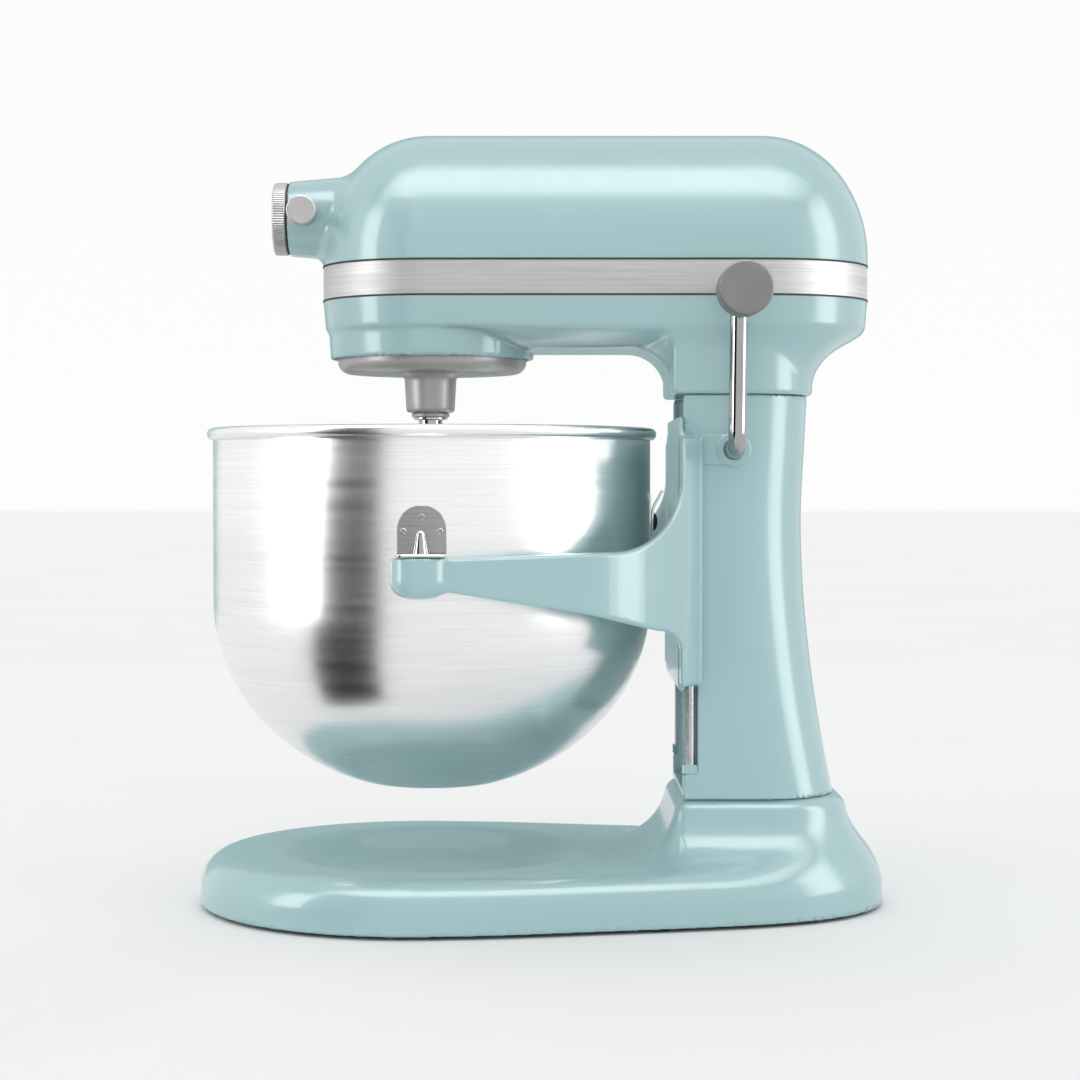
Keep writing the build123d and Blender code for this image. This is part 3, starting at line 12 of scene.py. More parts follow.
import bmesh
import bpy
import numpy as np
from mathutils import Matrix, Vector


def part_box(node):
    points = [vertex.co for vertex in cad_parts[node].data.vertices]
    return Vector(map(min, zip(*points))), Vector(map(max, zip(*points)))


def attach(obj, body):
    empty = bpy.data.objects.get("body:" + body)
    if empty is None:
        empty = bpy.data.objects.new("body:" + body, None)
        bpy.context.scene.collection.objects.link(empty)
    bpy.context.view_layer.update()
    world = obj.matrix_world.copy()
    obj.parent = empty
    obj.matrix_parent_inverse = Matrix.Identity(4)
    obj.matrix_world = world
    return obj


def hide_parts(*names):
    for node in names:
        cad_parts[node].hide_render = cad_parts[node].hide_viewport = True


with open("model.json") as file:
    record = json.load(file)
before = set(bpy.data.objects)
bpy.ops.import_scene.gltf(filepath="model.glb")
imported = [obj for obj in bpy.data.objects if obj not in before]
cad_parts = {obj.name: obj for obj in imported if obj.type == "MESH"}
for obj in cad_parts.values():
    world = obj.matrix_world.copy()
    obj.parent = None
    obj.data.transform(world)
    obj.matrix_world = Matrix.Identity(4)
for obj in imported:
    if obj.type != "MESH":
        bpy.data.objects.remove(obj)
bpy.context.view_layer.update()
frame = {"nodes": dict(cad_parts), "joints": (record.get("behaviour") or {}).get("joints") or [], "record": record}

MM = 0.001

# ---- mesh steps of the castings, in millimetres ----
STEP_HEAD = 1.8
STEP_COLUMN = 1.6
STEP_BASE = 2.2
STEP_CARRIER = 1.5
STEP_FINE = 1.0


def mm_box(node):
    """Lowest and highest corner of a CAD node, in millimetres."""
    low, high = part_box(node)
    return [c / MM for c in low], [c / MM for c in high]


# ---- places read from the frame, in millimetres ----
BAND_LOW, BAND_HIGH = mm_box("trim_band")
BOWL_LOW, BOWL_HIGH = mm_box("bowl")
BASE_LOW, BASE_HIGH = mm_box("base_casting")
COLUMN_LOW, COLUMN_HIGH = mm_box("column_casting")
CASE_LOW, CASE_HIGH = mm_box("lower_gear_case")
HOUSING_LOW, HOUSING_HIGH = mm_box("upper_housing")
CARRIER_LOW, CARRIER_HIGH = mm_box("bowl_carrier")
PLANET_LOW = mm_box("planetary_housing")[0]
SHAFT_LOW, SHAFT_HIGH = mm_box("beater_shaft")
CAP_LOW, CAP_HIGH = mm_box("hub_cap")
HUB_KNOB_LOW, HUB_KNOB_HIGH = mm_box("hub_knob")
LEVER_KNOB_LOW, LEVER_KNOB_HIGH = mm_box("lift_lever_knob")
ROD_LOW, ROD_HIGH = mm_box("lift_lever_rod")
PINS_HIGH = mm_box("locating_pins")[1]
GUIDE_LOW, GUIDE_HIGH = mm_box("guide_rods")
SPEED_LOW, SPEED_HIGH = mm_box("speed_lever")
STOPS_HIGH = mm_box("guide_rod_stops")[1]
LIFT_TRAVEL = 42.0
SPEED_Y = (SPEED_LOW[1] + SPEED_HIGH[1]) / 2

BOWL_Y = (BOWL_LOW[1] + BOWL_HIGH[1]) / 2
RIM_R = (BOWL_HIGH[1] - BOWL_LOW[1]) / 2
BOWL_R = RIM_R - 3.3
HEAD_R = HOUSING_HIGH[0]
NOSE_Y = BOWL_Y
TAIL_Y = HOUSING_HIGH[1] - HEAD_R
HEAD_TOP = HOUSING_HIGH[2]
BAND_Z0 = BAND_LOW[2]
BAND_Z1 = BAND_HIGH[2]
HUB_Z = (CAP_LOW[2] + CAP_HIGH[2]) / 2
SHAFT_X = (SHAFT_LOW[0] + SHAFT_HIGH[0]) / 2
PIN_X = PINS_HIGH[0] - 4.2
PIVOT = [data for data in frame["joints"] if data["name"] == "lift_lever_turn"][0]["pos_m"]
PIVOT_Y = PIVOT[1] / MM
PIVOT_Z = PIVOT[2] / MM


# ---------------- implicit surfaces ----------------
def join(a, b, radius):
    """Union with a circular fillet."""
    u = np.maximum(radius - a, 0.0)
    v = np.maximum(radius - b, 0.0)
    return np.maximum(radius, np.minimum(a, b)) - np.sqrt(u * u + v * v)


def meet(a, b, radius):
    """Intersection with a round edge."""
    u = np.maximum(radius + a, 0.0)
    v = np.maximum(radius + b, 0.0)
    return np.minimum(-radius, np.maximum(a, b)) + np.sqrt(u * u + v * v)


def between(value, low, high):
    """Distance to a slab between two planes."""
    return np.maximum(low - value, value - high)


def cut(a, b, radius):
    """a with b taken away and a round edge round the cut."""
    return meet(a, -b, radius)


def stadium(x, y, radius, y0, y1):
    """Distance in plan to a stadium along Y."""
    return np.hypot(x, y - np.clip(y, y0, y1)) - radius


def rod(u, v, centre_u, centre_v, radius):
    """Endless cylinder, from its two coordinates across the axis."""
    return np.hypot(u - centre_u, v - centre_v) - radius


def polyline_distance(x, y, points):
    """Distance in plan to an open chain of points."""
    best = np.full(np.shape(x), 1e9)
    for (ax, ay), (bx, by) in zip(points, points[1:]):
        dx, dy = bx - ax, by - ay
        length = hypot(dx, dy)
        t = np.clip(((x - ax) * dx + (y - ay) * dy) / (length * length), 0, 1)
        best = np.minimum(best, np.hypot(x - ax - t * dx, y - ay - t * dy))
    return best


def curve_points(knots, per_span):
    """Catmull-Rom curve through 2-D knots."""
    last = len(knots) - 1
    result = []
    for i in range(last):
        p = [np.array(knots[min(max(i + k, 0), last)], float) for k in (-1, 0, 1, 2)]
        for j in range(per_span):
            t = j / per_span
            square = (2 * p[0] - 5 * p[1] + 4 * p[2] - p[3]) * t * t
            cube = (3 * p[1] - p[0] - 3 * p[2] + p[3]) * t ** 3
            result.append(tuple(0.5 * (2 * p[1] + (p[2] - p[0]) * t + square + cube)))
    result.append(tuple(map(float, knots[-1])))
    return result


def net_mesh(field, low, high, step):
    """Surface-net mesh of field = 0 as (vertices, quads), in millimetres."""
    axes = [np.arange(a - 2 * step, b + 2 * step + step * 0.5, step) for a, b in zip(low, high)]
    gx, gy, gz = np.meshgrid(*axes, indexing="ij")
    values = field(gx, gy, gz)
    inside = values < 0
    shape = [n - 1 for n in values.shape]
    total = np.zeros(shape + [3])
    hits = np.zeros(shape)
    corners = [(i, j, k) for i in (0, 1) for j in (0, 1) for k in (0, 1)]

    def corner(array, c):
        return array[c[0]:c[0] + shape[0], c[1]:c[1] + shape[1], c[2]:c[2] + shape[2]]

    for a in corners:
        for axis in range(3):
            if a[axis]:
                continue
            b = tuple(1 if n == axis else a[n] for n in range(3))
            va, vb = corner(values, a), corner(values, b)
            crosses = corner(inside, a) != corner(inside, b)
            gap = np.where(crosses, va - vb, 1.0)
            t = np.where(crosses, va / gap, 0.0)
            for n in range(3):
                place = a[n] + (t if n == axis else 0.0)
                total[..., n] += np.where(crosses, place, 0.0)
            hits += crosses
    active = hits > 0
    index = np.full(shape, -1, dtype=np.int64)
    index[active] = np.arange(int(active.sum()))
    cells = np.argwhere(active)
    local = total[active] / hits[active][:, None]
    origin = np.array([axis[0] for axis in axes])
    points = origin + (cells + local) * step
    quads = []
    for axis in range(3):
        u, v = [n for n in range(3) if n != axis]
        first = [slice(None)] * 3
        second = [slice(None)] * 3
        first[axis] = slice(0, values.shape[axis] - 1)
        second[axis] = slice(1, values.shape[axis])
        changed = inside[tuple(first)] != inside[tuple(second)]
        where = np.argwhere(changed)
        keep = (where[:, u] > 0) & (where[:, u] < shape[u])
        keep &= (where[:, v] > 0) & (where[:, v] < shape[v])
        where = where[keep]
        ring = []
        for du, dv in ((0, 0), (1, 0), (1, 1), (0, 1)):
            cell = where.copy()
            cell[:, u] -= du
            cell[:, v] -= dv
            ring.append(index[cell[:, 0], cell[:, 1], cell[:, 2]])
        ring = np.stack(ring, axis=1)
        starts_inside = inside[where[:, 0], where[:, 1], where[:, 2]]
        flip = starts_inside if axis == 1 else ~starts_inside
        ring[flip] = ring[flip][:, ::-1]
        quads.append(ring)
    return points, np.concatenate(quads)


def gradient(field, points):
    """Gradient, its length and the value of a field at points."""
    reach = 0.15
    x, y, z = points.T
    slope = np.stack([
        field(x + reach, y, z) - field(x - reach, y, z),
        field(x, y + reach, z) - field(x, y - reach, z),
        field(x, y, z + reach) - field(x, y, z - reach),
    ], axis=1) / (2 * reach)
    size = np.maximum(np.linalg.norm(slope, axis=1, keepdims=True), 1e-6)
    return slope, size, field(x, y, z)


def casting(name, field, low, high, step):
    """Mesh object of an implicit surface, drawn exactly onto it, with its own normals."""
    points, quads = net_mesh(field, low, high, step)
    for _ in range(3):
        slope, size, value = gradient(field, points)
        move = np.clip(value[:, None] / size, -step, step)
        points = points - slope / size * move * 0.9
    slope, size, value = gradient(field, points)
    normals = slope / size
    mesh = bpy.data.meshes.new(name)
    mesh.from_pydata((points * MM).tolist(), [], quads.tolist())
    mesh.update()
    mesh.polygons.foreach_set("use_smooth", [True] * len(mesh.polygons))
    mesh.normals_split_custom_set_from_vertices(normals.tolist())
    return add_object(name, mesh)


# ---------------- mesh helpers ----------------
def add_object(name, mesh):
    """Object in the scene from a mesh."""
    obj = bpy.data.objects.new(name, mesh)
    bpy.context.scene.collection.objects.link(obj)
    return obj


def mesh_object(name, points, faces, smooth_angle=35.0):
    """Mesh from millimetre points and faces, smooth except at sharp edges."""
    mesh = bpy.data.meshes.new(name)
    mesh.from_pydata([tuple(c * MM for c in p) for p in points], [], faces)
    mesh.update()
    work = bmesh.new()
    work.from_mesh(mesh)
    bmesh.ops.remove_doubles(work, verts=work.verts, dist=1e-6)
    bmesh.ops.recalc_face_normals(work, faces=work.faces)
    for edge in work.edges:
        bend = edge.calc_face_angle(0.0)
        edge.smooth = len(edge.link_faces) == 2 and bend < radians(smooth_angle)
    for face in work.faces:
        face.smooth = True
    work.to_mesh(mesh)
    work.free()
    return add_object(name, mesh)


def round_faces(rows, count, closed=False):
    """Quads between rows of points that run round; closed joins the last row to the first."""
    faces = []
    for j in range(rows if closed else rows - 1):
        here, ahead = j * count, (j + 1) % rows * count
        for i in range(count):
            k = (i + 1) % count
            faces.append((here + i, here + k, ahead + k, ahead + i))
    return faces


def lathe(name, profile, centre, axis, segments, smooth_angle):
    """Turned part: (radius, height) profile about an axis through centre."""
    points = []
    for radius, height in profile:
        for i in range(segments):
            a = 2 * pi * i / segments
            u, v = radius * cos(a), radius * sin(a)
            if axis == "z":
                points.append((centre[0] + u, centre[1] + v, height))
            elif axis == "y":
                points.append((centre[0] + u, height, centre[2] + v))
            else:
                points.append((height, centre[1] + u, centre[2] + v))
    return mesh_object(name, points, round_faces(len(profile), segments), smooth_angle)


def arc(centre, radius, start, end, count=8):
    """Points on an arc given in degrees."""
    steps = [radians(start + (end - start) * i / (count - 1)) for i in range(count)]
    return [(centre[0] + radius * cos(a), centre[1] + radius * sin(a)) for a in steps]


def tube(name, path, radius, segments=24):
    """Round bar along millimetre points, with flat ends."""
    points = []
    normal = Vector((0, 1, 0))
    rows = [Vector(p) for p in path]
    for i, here in enumerate(rows):
        ahead = rows[min(i + 1, len(rows) - 1)] - rows[max(i - 1, 0)]
        ahead.normalize()
        side = ahead.cross(normal)
        if side.length < 0.1:
            side = ahead.cross(Vector((0, 0, 1)))
        side.normalize()
        up = side.cross(ahead)
        for j in range(segments):
            a = 2 * pi * j / segments
            points.append(tuple(here + side * (radius * cos(a)) + up * (radius * sin(a))))
    faces = round_faces(len(rows), segments)
    faces.append(tuple(range(segments)))
    faces.append(tuple((len(rows) - 1) * segments + j for j in range(segments)))
    return mesh_object(name, points, faces, 40.0)


def corner_path(points, radius, count=9):
    """3-D path with rounded corners."""
    result = [Vector(points[0])]
    for before, here, after in zip(points, points[1:], points[2:]):
        here = Vector(here)
        a = (Vector(before) - here).normalized()
        b = (Vector(after) - here).normalized()
        half = acos(max(-1.0, min(1.0, a.dot(b)))) / 2
        reach = radius / tan(half)
        centre = here + (a + b).normalized() * (radius / sin(half))
        start, end = here + a * reach - centre, here + b * reach - centre
        angle = start.angle(end)
        for i in range(count):
            t = i / (count - 1)
            mix = start * (sin((1 - t) * angle) / sin(angle)) + end * (sin(t * angle) / sin(angle))
            result.append(centre + mix)
    result.append(Vector(points[-1]))
    return result


# ---------------- materials ----------------
def new_material(name):
    """Node material with a Principled shader; returns (material, nodes, links, shader)."""
    material = bpy.data.materials.new(name)
    material.use_nodes = True
    tree = material.node_tree
    shader = tree.nodes["Principled BSDF"]
    return material, tree.nodes, tree.links, shader


def noise(nodes, links, scale, stretch=(1, 1, 1), detail=3.0, rough=0.5):
    """3-D noise in object space, stretched per axis."""
    place = nodes.new("ShaderNodeTexCoord")
    mapping = nodes.new("ShaderNodeMapping")
    mapping.inputs["Scale"].default_value = stretch
    texture = nodes.new("ShaderNodeTexNoise")
    texture.inputs["Scale"].default_value = scale
    texture.inputs["Detail"].default_value = detail
    texture.inputs["Roughness"].default_value = rough
    links.new(place.outputs["Object"], mapping.inputs["Vector"])
    links.new(mapping.outputs["Vector"], texture.inputs["Vector"])
    return texture.outputs["Fac"]


def ranged(nodes, links, source, low, high, from_low=0.3, from_high=0.7):
    """Remap a value."""
    node = nodes.new("ShaderNodeMapRange")
    node.inputs["From Min"].default_value = from_low
    node.inputs["From Max"].default_value = from_high
    node.inputs["To Min"].default_value = low
    node.inputs["To Max"].default_value = high
    links.new(source, node.inputs["Value"])
    return node.outputs["Result"]


def ramp(nodes, links, source, dark, light, low=0.3, high=0.7):
    """Two-colour ramp."""
    node = nodes.new("ShaderNodeValToRGB")
    node.color_ramp.elements[0].position = low
    node.color_ramp.elements[0].color = (*dark, 1)
    node.color_ramp.elements[1].position = high
    node.color_ramp.elements[1].color = (*light, 1)
    links.new(source, node.inputs["Fac"])
    return node.outputs["Color"]


def bump(nodes, links, source, strength, depth):
    """Bump from a height value, depth in metres."""
    node = nodes.new("ShaderNodeBump")
    node.inputs["Strength"].default_value = strength
    node.inputs["Distance"].default_value = depth
    links.new(source, node.inputs["Height"])
    return node.outputs["Normal"]


def enamel():
    """Glossy aqua enamel: faint orange peel, slow colour drift and a clear coat."""
    material, nodes, links, shader = new_material("enamel_aqua")
    drift = noise(nodes, links, 9.0, detail=4.0)
    colour = ramp(nodes, links, drift, ENAMEL_DARK, ENAMEL_LIGHT)
    links.new(colour, shader.inputs["Base Color"])
    flow = noise(nodes, links, 60.0, detail=2.0)
    links.new(ranged(nodes, links, flow, 0.30, 0.40), shader.inputs["Roughness"])
    shader.inputs["Coat Weight"].default_value = 0.8
    shader.inputs["Coat Roughness"].default_value = 0.10
    shader.inputs["Coat IOR"].default_value = 1.5
    shader.inputs["Specular IOR Level"].default_value = 0.3
    peel = noise(nodes, links, 260.0, detail=1.0)
    links.new(bump(nodes, links, peel, 0.05, 0.0001), shader.inputs["Normal"])
    return material


def brushed(name, dark, light, roughness, streak, stretch,
            depth=0.00004, strength=0.35, anisotropy=0.4):
    """Brushed metal: long thin streaks in colour, gloss and height."""
    material, nodes, links, shader = new_material(name)
    shader.inputs["Metallic"].default_value = 1.0
    fine = noise(nodes, links, streak, stretch, detail=5.0, rough=0.7)
    broad = noise(nodes, links, streak * 0.22, stretch, detail=2.0)
    links.new(ramp(nodes, links, fine, dark, light, 0.32, 0.62), shader.inputs["Base Color"])
    links.new(ranged(nodes, links, broad, roughness[0], roughness[1]), shader.inputs["Roughness"])
    shader.inputs["Anisotropic"].default_value = anisotropy
    links.new(bump(nodes, links, fine, strength, depth), shader.inputs["Normal"])
    return material


def satin(name, dark, light, metallic, roughness, grain=900.0, depth=0.00005, coat=0.0):
    """Satin or cast surface: fine grain in gloss and height over two close colours."""
    material, nodes, links, shader = new_material(name)
    shader.inputs["Metallic"].default_value = metallic
    shader.inputs["Coat Weight"].default_value = coat
    slow = noise(nodes, links, 35.0, detail=3.0)
    links.new(ramp(nodes, links, slow, dark, light), shader.inputs["Base Color"])
    fine = noise(nodes, links, grain, detail=3.0)
    links.new(ranged(nodes, links, fine, roughness[0], roughness[1]), shader.inputs["Roughness"])
    links.new(bump(nodes, links, fine, 0.4, depth), shader.inputs["Normal"])
    return material


def grey(level, blue=None):
    """Neutral colour, with its own value for blue when one is given."""
    return (level, level, level if blue is None else blue)


ENAMEL_DARK = (0.372, 0.570, 0.592)
ENAMEL_LIGHT = (0.384, 0.585, 0.607)

MAT = {
    "enamel": enamel(),
    "band": brushed("brushed_band", grey(0.42), grey(0.52), (0.46, 0.54), 260.0, (0.05, 0.05, 4.0)),
    "bowl": brushed("brushed_bowl", grey(0.84), grey(0.93), (0.22, 0.27), 170.0, (0.05, 0.05, 6.0),
                    depth=0.00003, strength=0.12, anisotropy=0.2),
    "plate": brushed("brushed_plate", grey(0.28), grey(0.36), (0.32, 0.45), 260.0, (0.1, 0.1, 4.0)),
    "chrome": satin("polished_chrome", grey(0.72, 0.73), grey(0.78, 0.79), 1.0, (0.04, 0.10),
                    300.0, 0.00001),
    "rod": satin("polished_rod", grey(0.40, 0.405), grey(0.44, 0.445), 1.0, (0.08, 0.13),
                 300.0, 0.00001),
    "knob": satin("satin_knob", grey(0.21, 0.215), grey(0.24, 0.245), 0.8, (0.42, 0.50)),
    "cap": satin("satin_cap", grey(0.46, 0.465), grey(0.51, 0.515), 0.85, (0.40, 0.48)),
    "planet": satin("planetary_grey", grey(0.43, 0.425), grey(0.46, 0.455), 0.35, (0.34, 0.42), 700.0,
                    0.00005, coat=0.1),
    "steel": satin("machined_steel", grey(0.42, 0.43), grey(0.52, 0.53), 1.0, (0.25, 0.42)),
    "bronze": satin("sintered_bronze", (0.45, 0.28, 0.12), (0.55, 0.36, 0.17), 1.0, (0.35, 0.5)),
    "rubber": satin("black_rubber", grey(0.018), grey(0.03), 0.0, (0.6, 0.75), 1200.0, 0.0001),
    "copper": satin("copper_wire", (0.50, 0.20, 0.09), (0.65, 0.30, 0.14), 1.0, (0.25, 0.4)),
    "iron": satin("laminated_iron", grey(0.14, 0.15), grey(0.2, 0.21), 0.9, (0.4, 0.55)),
    "cast": satin("cast_aluminium", grey(0.45, 0.46), grey(0.55, 0.56), 1.0, (0.4, 0.55),
                  500.0, 0.0002),
    "plastic": satin("black_plastic", grey(0.02, 0.022), grey(0.035, 0.037), 0.0, (0.35, 0.5)),
}

SLOTS = {
    "paint": "enamel", "brushed_band": "band", "brushed_bowl": "bowl", "satin_steel": "steel",
    "bowl_handle_steel": "bowl", "chrome": "chrome", "satin_knob": "knob", "planetary_grey": "planet",
    "gear_steel": "steel", "bronze": "bronze", "black_rubber": "rubber", "screw_steel": "steel",
    "copper": "copper", "laminated_steel": "iron", "cast_bracket": "cast", "black_plastic": "plastic",
}


def finish_piece(obj, material, body, slot_name, *nodes):
    """Give a piece its material and body and hide the CAD nodes it stands for; slot_name is not used."""
    obj.data.materials.clear()
    obj.data.materials.append(MAT[material])
    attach(obj, body)
    if nodes:
        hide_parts(*nodes)
    return obj


def turned(name, profile, centre, axis, segments, smooth_angle, *finish):
    """Lathed piece with its finish."""
    finish_piece(lathe(name, profile, centre, axis, segments, smooth_angle), *finish)


def paint_cad_nodes():
    """Every CAD node gets the material of its slot."""
    slots = {row["node"]: row["material_slot"] for row in frame["record"]["subparts"]}
    for node, obj in frame["nodes"].items():
        obj.data.materials.clear()
        obj.data.materials.append(MAT[SLOTS[slots[node]] if node != "guide_rod_stops" else "enamel"])


# ---------------- head ----------------
WALL = 3.6
CROWN_DROP = 2.1
CROWN_EDGE = 55.0
CROWN_SQUASH = 0.85
NECK_FRONT = 69.8
NECK_REAR = 147.0
NECK_HALF = 52.6
CASE_UNDER = 300.8
CASE_LOW_COLLAR = 296.0
COLLAR_R = 55.2
NECK_BOTTOM = CASE_LOW[2]
SLOT_Y = 33.0
SLOT_HALF = 25.0
SLOT_Z = 318.0


def crown(x, y, z):
    """Outside of the head above the band, endless downwards."""
    draft = np.clip(z - BAND_Z1, 0, 40) * 0.02
    side = stadium(x, y, HEAD_R - draft, NOSE_Y, TAIL_Y)
    return meet(side, (z - HEAD_TOP + CROWN_DROP) * CROWN_SQUASH, CROWN_EDGE)


def hub_barrel(x, y, z):
    """Conical attachment barrel on the nose."""
    radius = 20.2 + np.clip(y - HOUSING_LOW[1], 0, 40) * 0.085
    barrel = rod(x, z, 0, HUB_Z, 0.0) - radius
    barrel = meet(barrel, HOUSING_LOW[1] - y, 0.8)
    return meet(barrel, y - (NOSE_Y - 20), 1.0)


def upper_field(x, y, z):
    """Upper housing: crown and hub with a round fillet, hollow, with the hub bore."""
    skin = join(crown(x, y, z), hub_barrel(x, y, z), 4.5)
    hollow = crown(x, y, z) + WALL
    body = np.maximum(skin, -hollow)
    seam = BAND_Z1 + 0.9 - z
    body = meet(body, seam, 0.5)
    bore = np.maximum(rod(x, z, 0, HUB_Z, 17.4), y + 112.0)
    return cut(body, bore, 0.5)


def make_upper_housing():
    """Upper head casting."""
    low = (-HEAD_R, HOUSING_LOW[1], BAND_Z1)
    high = (HEAD_R, HOUSING_HIGH[1], HEAD_TOP)
    piece = casting("upper_housing_shell", upper_field, low, high, STEP_HEAD)
    finish_piece(piece, "enamel", "frame", "paint", "upper_housing")


def smooth_step(value, low, high):
    """0 below low, 1 above high, smooth between."""
    t = np.clip((value - low) / (high - low), 0, 1)
    return t * t * (3 - 2 * t)


def neck_plan(x, y):
    """Distance in plan to the neck's D-shaped section."""
    front = meet(np.abs(x) - NECK_HALF, NECK_FRONT - y, 2.5)
    rear = meet(np.abs(x) - NECK_HALF, y - NECK_REAR, 40.0)
    return np.maximum(front, rear)


def lower_skin(x, y, z):
    """Outside of the lower head casting without its top plane."""
    taper = np.clip(BAND_Z0 - z, 0, 30) * 0.085
    side = stadium(x, y, HEAD_R - 0.2 - taper, NOSE_Y, TAIL_Y)
    nose = smooth_step(-y, 2.0, 46.0)
    inward = 1 - np.clip(-side / 24.0, 0, 1)
    under = CASE_UNDER + 10.0 * (nose + (1 - nose) * inward ** 1.9) - z
    tray = meet(side, under, 2.6)
    collar = np.hypot(x, y - NOSE_Y) - (COLLAR_R + np.clip(z - CASE_LOW_COLLAR, 0, 20) * 0.06)
    collar = np.maximum(meet(collar, CASE_LOW_COLLAR - z, 1.4), z - 318)
    head = join(tray, collar, 1.6)
    neck = np.maximum(neck_plan(x, y), z - 325)
    neck = meet(neck, NECK_BOTTOM - z, 2.2)
    return join(head, neck, 21.0 - 13.0 * smooth_step(np.abs(x), 36.0, 50.0))


def lower_field(x, y, z):
    """Lower casting: skin, inner hollow, planetary recess and top edge."""
    skin = lower_skin(x, y, z)
    body = meet(skin, z - (BAND_Z0 - 0.9), 0.5)
    side = stadium(x, y, HEAD_R - WALL - 2.0, NOSE_Y, TAIL_Y)
    hollow = np.maximum(side, CASE_UNDER + 13.0 - z)
    body = np.maximum(body, -hollow)
    shaft = np.maximum(neck_plan(x, y) + 7.0, 91.0 - y)
    body = np.maximum(body, -shaft)
    slot = meet(np.abs(y - SLOT_Y) - SLOT_HALF, np.abs(z - SLOT_Z) - 2.4, 2.2)
    body = cut(body, np.maximum(slot, x + 50.0), 0.5)
    recess = np.maximum(np.hypot(x, y - NOSE_Y) - 52.2, z - 305.0)
    return cut(body, recess, 0.6)


def make_lower_case():
    """Lower head casting with collar and neck."""
    low = (-HEAD_R, CASE_LOW[1], CASE_LOW[2])
    high = (HEAD_R, CASE_HIGH[1], BAND_Z0 + 1)
    piece = casting("lower_gear_case_shell", lower_field, low, high, STEP_HEAD)
    finish_piece(piece, "enamel", "frame", "paint", "lower_gear_case")


def stadium_ring(name, profile, segments=64):
    """Closed (offset, z) profile carried round the head's plan outline."""
    places = []
    for i in range(segments + 1):
        a = pi + pi * i / segments
        places.append((cos(a), sin(a), NOSE_Y))
    for i in range(segments + 1):
        a = pi * i / segments
        places.append((cos(a), sin(a), TAIL_Y))
    points = []
    for cx, cy, y in places:
        for offset, z in profile:
            points.append((cx * (HEAD_R + offset), y + cy * (HEAD_R + offset), z))
    return mesh_object(name, points, round_faces(len(places), len(profile), closed=True), 30.0)


def make_trim_band():
    """Brushed band with a slightly crowned face; a black strip behind it and black rings at its edges paint the
    shadow in the seam gaps.
    """
    z0, z1 = BAND_Z0, BAND_Z1
    outer = -0.35
    profile = [(-1.4, z0), (outer - 0.35, z0), (outer - 0.08, z0 + 0.25), (outer, z0 + 1.2)]
    profile += [(outer + 0.12, (z0 + z1) / 2)]
    profile += [(outer, z1 - 1.2), (outer - 0.08, z1 - 0.25), (outer - 0.35, z1), (-1.4, z1)]
    band = stadium_ring("trim_band_strip", profile)
    finish_piece(band, "band", "frame", "brushed_band", "trim_band")
    # Black strip behind the band and black rings at its edges: painted shadow in the gaps between band and shells.
    seam = [(-4.0, z0 - 1.2), (-1.45, z0 - 1.2), (-1.45, z1 + 1.2), (-4.0, z1 + 1.2)]
    backing = stadium_ring("band_gap_shadow_strip", seam)
    finish_piece(backing, "rubber", "frame", "black_rubber")
    for seam_z, label in ((z0 - 0.1, "lower"), (z1 + 0.1, "upper")):
        low, high = seam_z - 0.48, seam_z + 0.48
        line = [(-1.6, low), (0.04, low), (0.14, seam_z), (0.04, high), (-1.6, high)]
        seam = stadium_ring("band_gap_shadow_line_" + label, line)
        finish_piece(seam, "rubber", "frame", "black_rubber")


# ---------------- hub ----------------
def make_shell_lips():
    """Enamel lips with true edges along the band, over the ends of the two head shells."""
    lip = 2.4
    rows = (("upper", BAND_Z1 + 0.1, 1, 0.0, 0.02), ("lower", BAND_Z0 - 0.1, -1, 0.2, 0.085))
    for name, edge, sign, inset, slope in rows:
        face = [0.03 - inset - slope * h for h in (0.0, 0.15, 0.5, lip)]
        profile = [(-2.2, edge), (face[0] - 0.5, edge), (face[1] - 0.15, edge + sign * 0.15)]
        end = edge + sign * lip
        profile += [(face[2], edge + sign * 0.5), (face[3], end), (-2.2, end)]
        ring = stadium_ring("shell_lip_" + name, profile)
        finish_piece(ring, "enamel", "frame", "paint")


def make_hub_cap():
    """Hub cover: smooth rim with two groups of fine grip ribs at the sides."""
    y0, y1 = CAP_LOW[1], CAP_HIGH[1]
    radius = (CAP_HIGH[2] - CAP_LOW[2]) / 2
    count = 288
    rings = [(0.0, y0 + 0.5, 0), (radius * 0.55, y0 + 0.35, 0), (radius * 0.86, y0 + 0.25, 0)]
    rings += [(radius - 2.2, y0, 0), (radius - 1.3, y0 + 0.15, 0), (radius - 0.5, y0 + 0.9, 0.6)]
    rings += [(radius - 0.25, y0 + 1.6, 1), (radius - 0.25, y1 - 1.4, 1), (radius - 0.4, y1 - 0.9, 0.5)]
    rings += [(radius - 1.0, y1 - 0.35, 0), (radius - 2.0, y1, 0), (0.0, y1, 0)]
    points = []
    for r, y, share in rings:
        for i in range(count):
            a = 2 * pi * i / count
            side = abs(sin(a)) < 0.62
            groove = 0.45 * share * (0.5 - 0.5 * cos(a * 96)) if side else 0.0
            flat = 0.5 * share if not side else 0.0
            points.append(((r - groove) * cos(a), y, HUB_Z + (r - groove - flat) * sin(a)))
    cap = mesh_object("hub_cap_cover", points, round_faces(len(rings), count), 28.0)
    finish_piece(cap, "cap", "hub_cap", "satin_knob", "hub_cap")
    # Black ring in the gap between cap and barrel: a painted shadow line.
    back, front = y1 - 0.05, y1 + 0.62
    ring = [(17.6, back), (19.2, back), (19.2, front), (17.6, front), (17.6, back)]
    turned("hub_gap_shadow_ring", ring, (0, 0, HUB_Z), "y", 96, 35, "rubber", "hub_cap", "black_rubber")


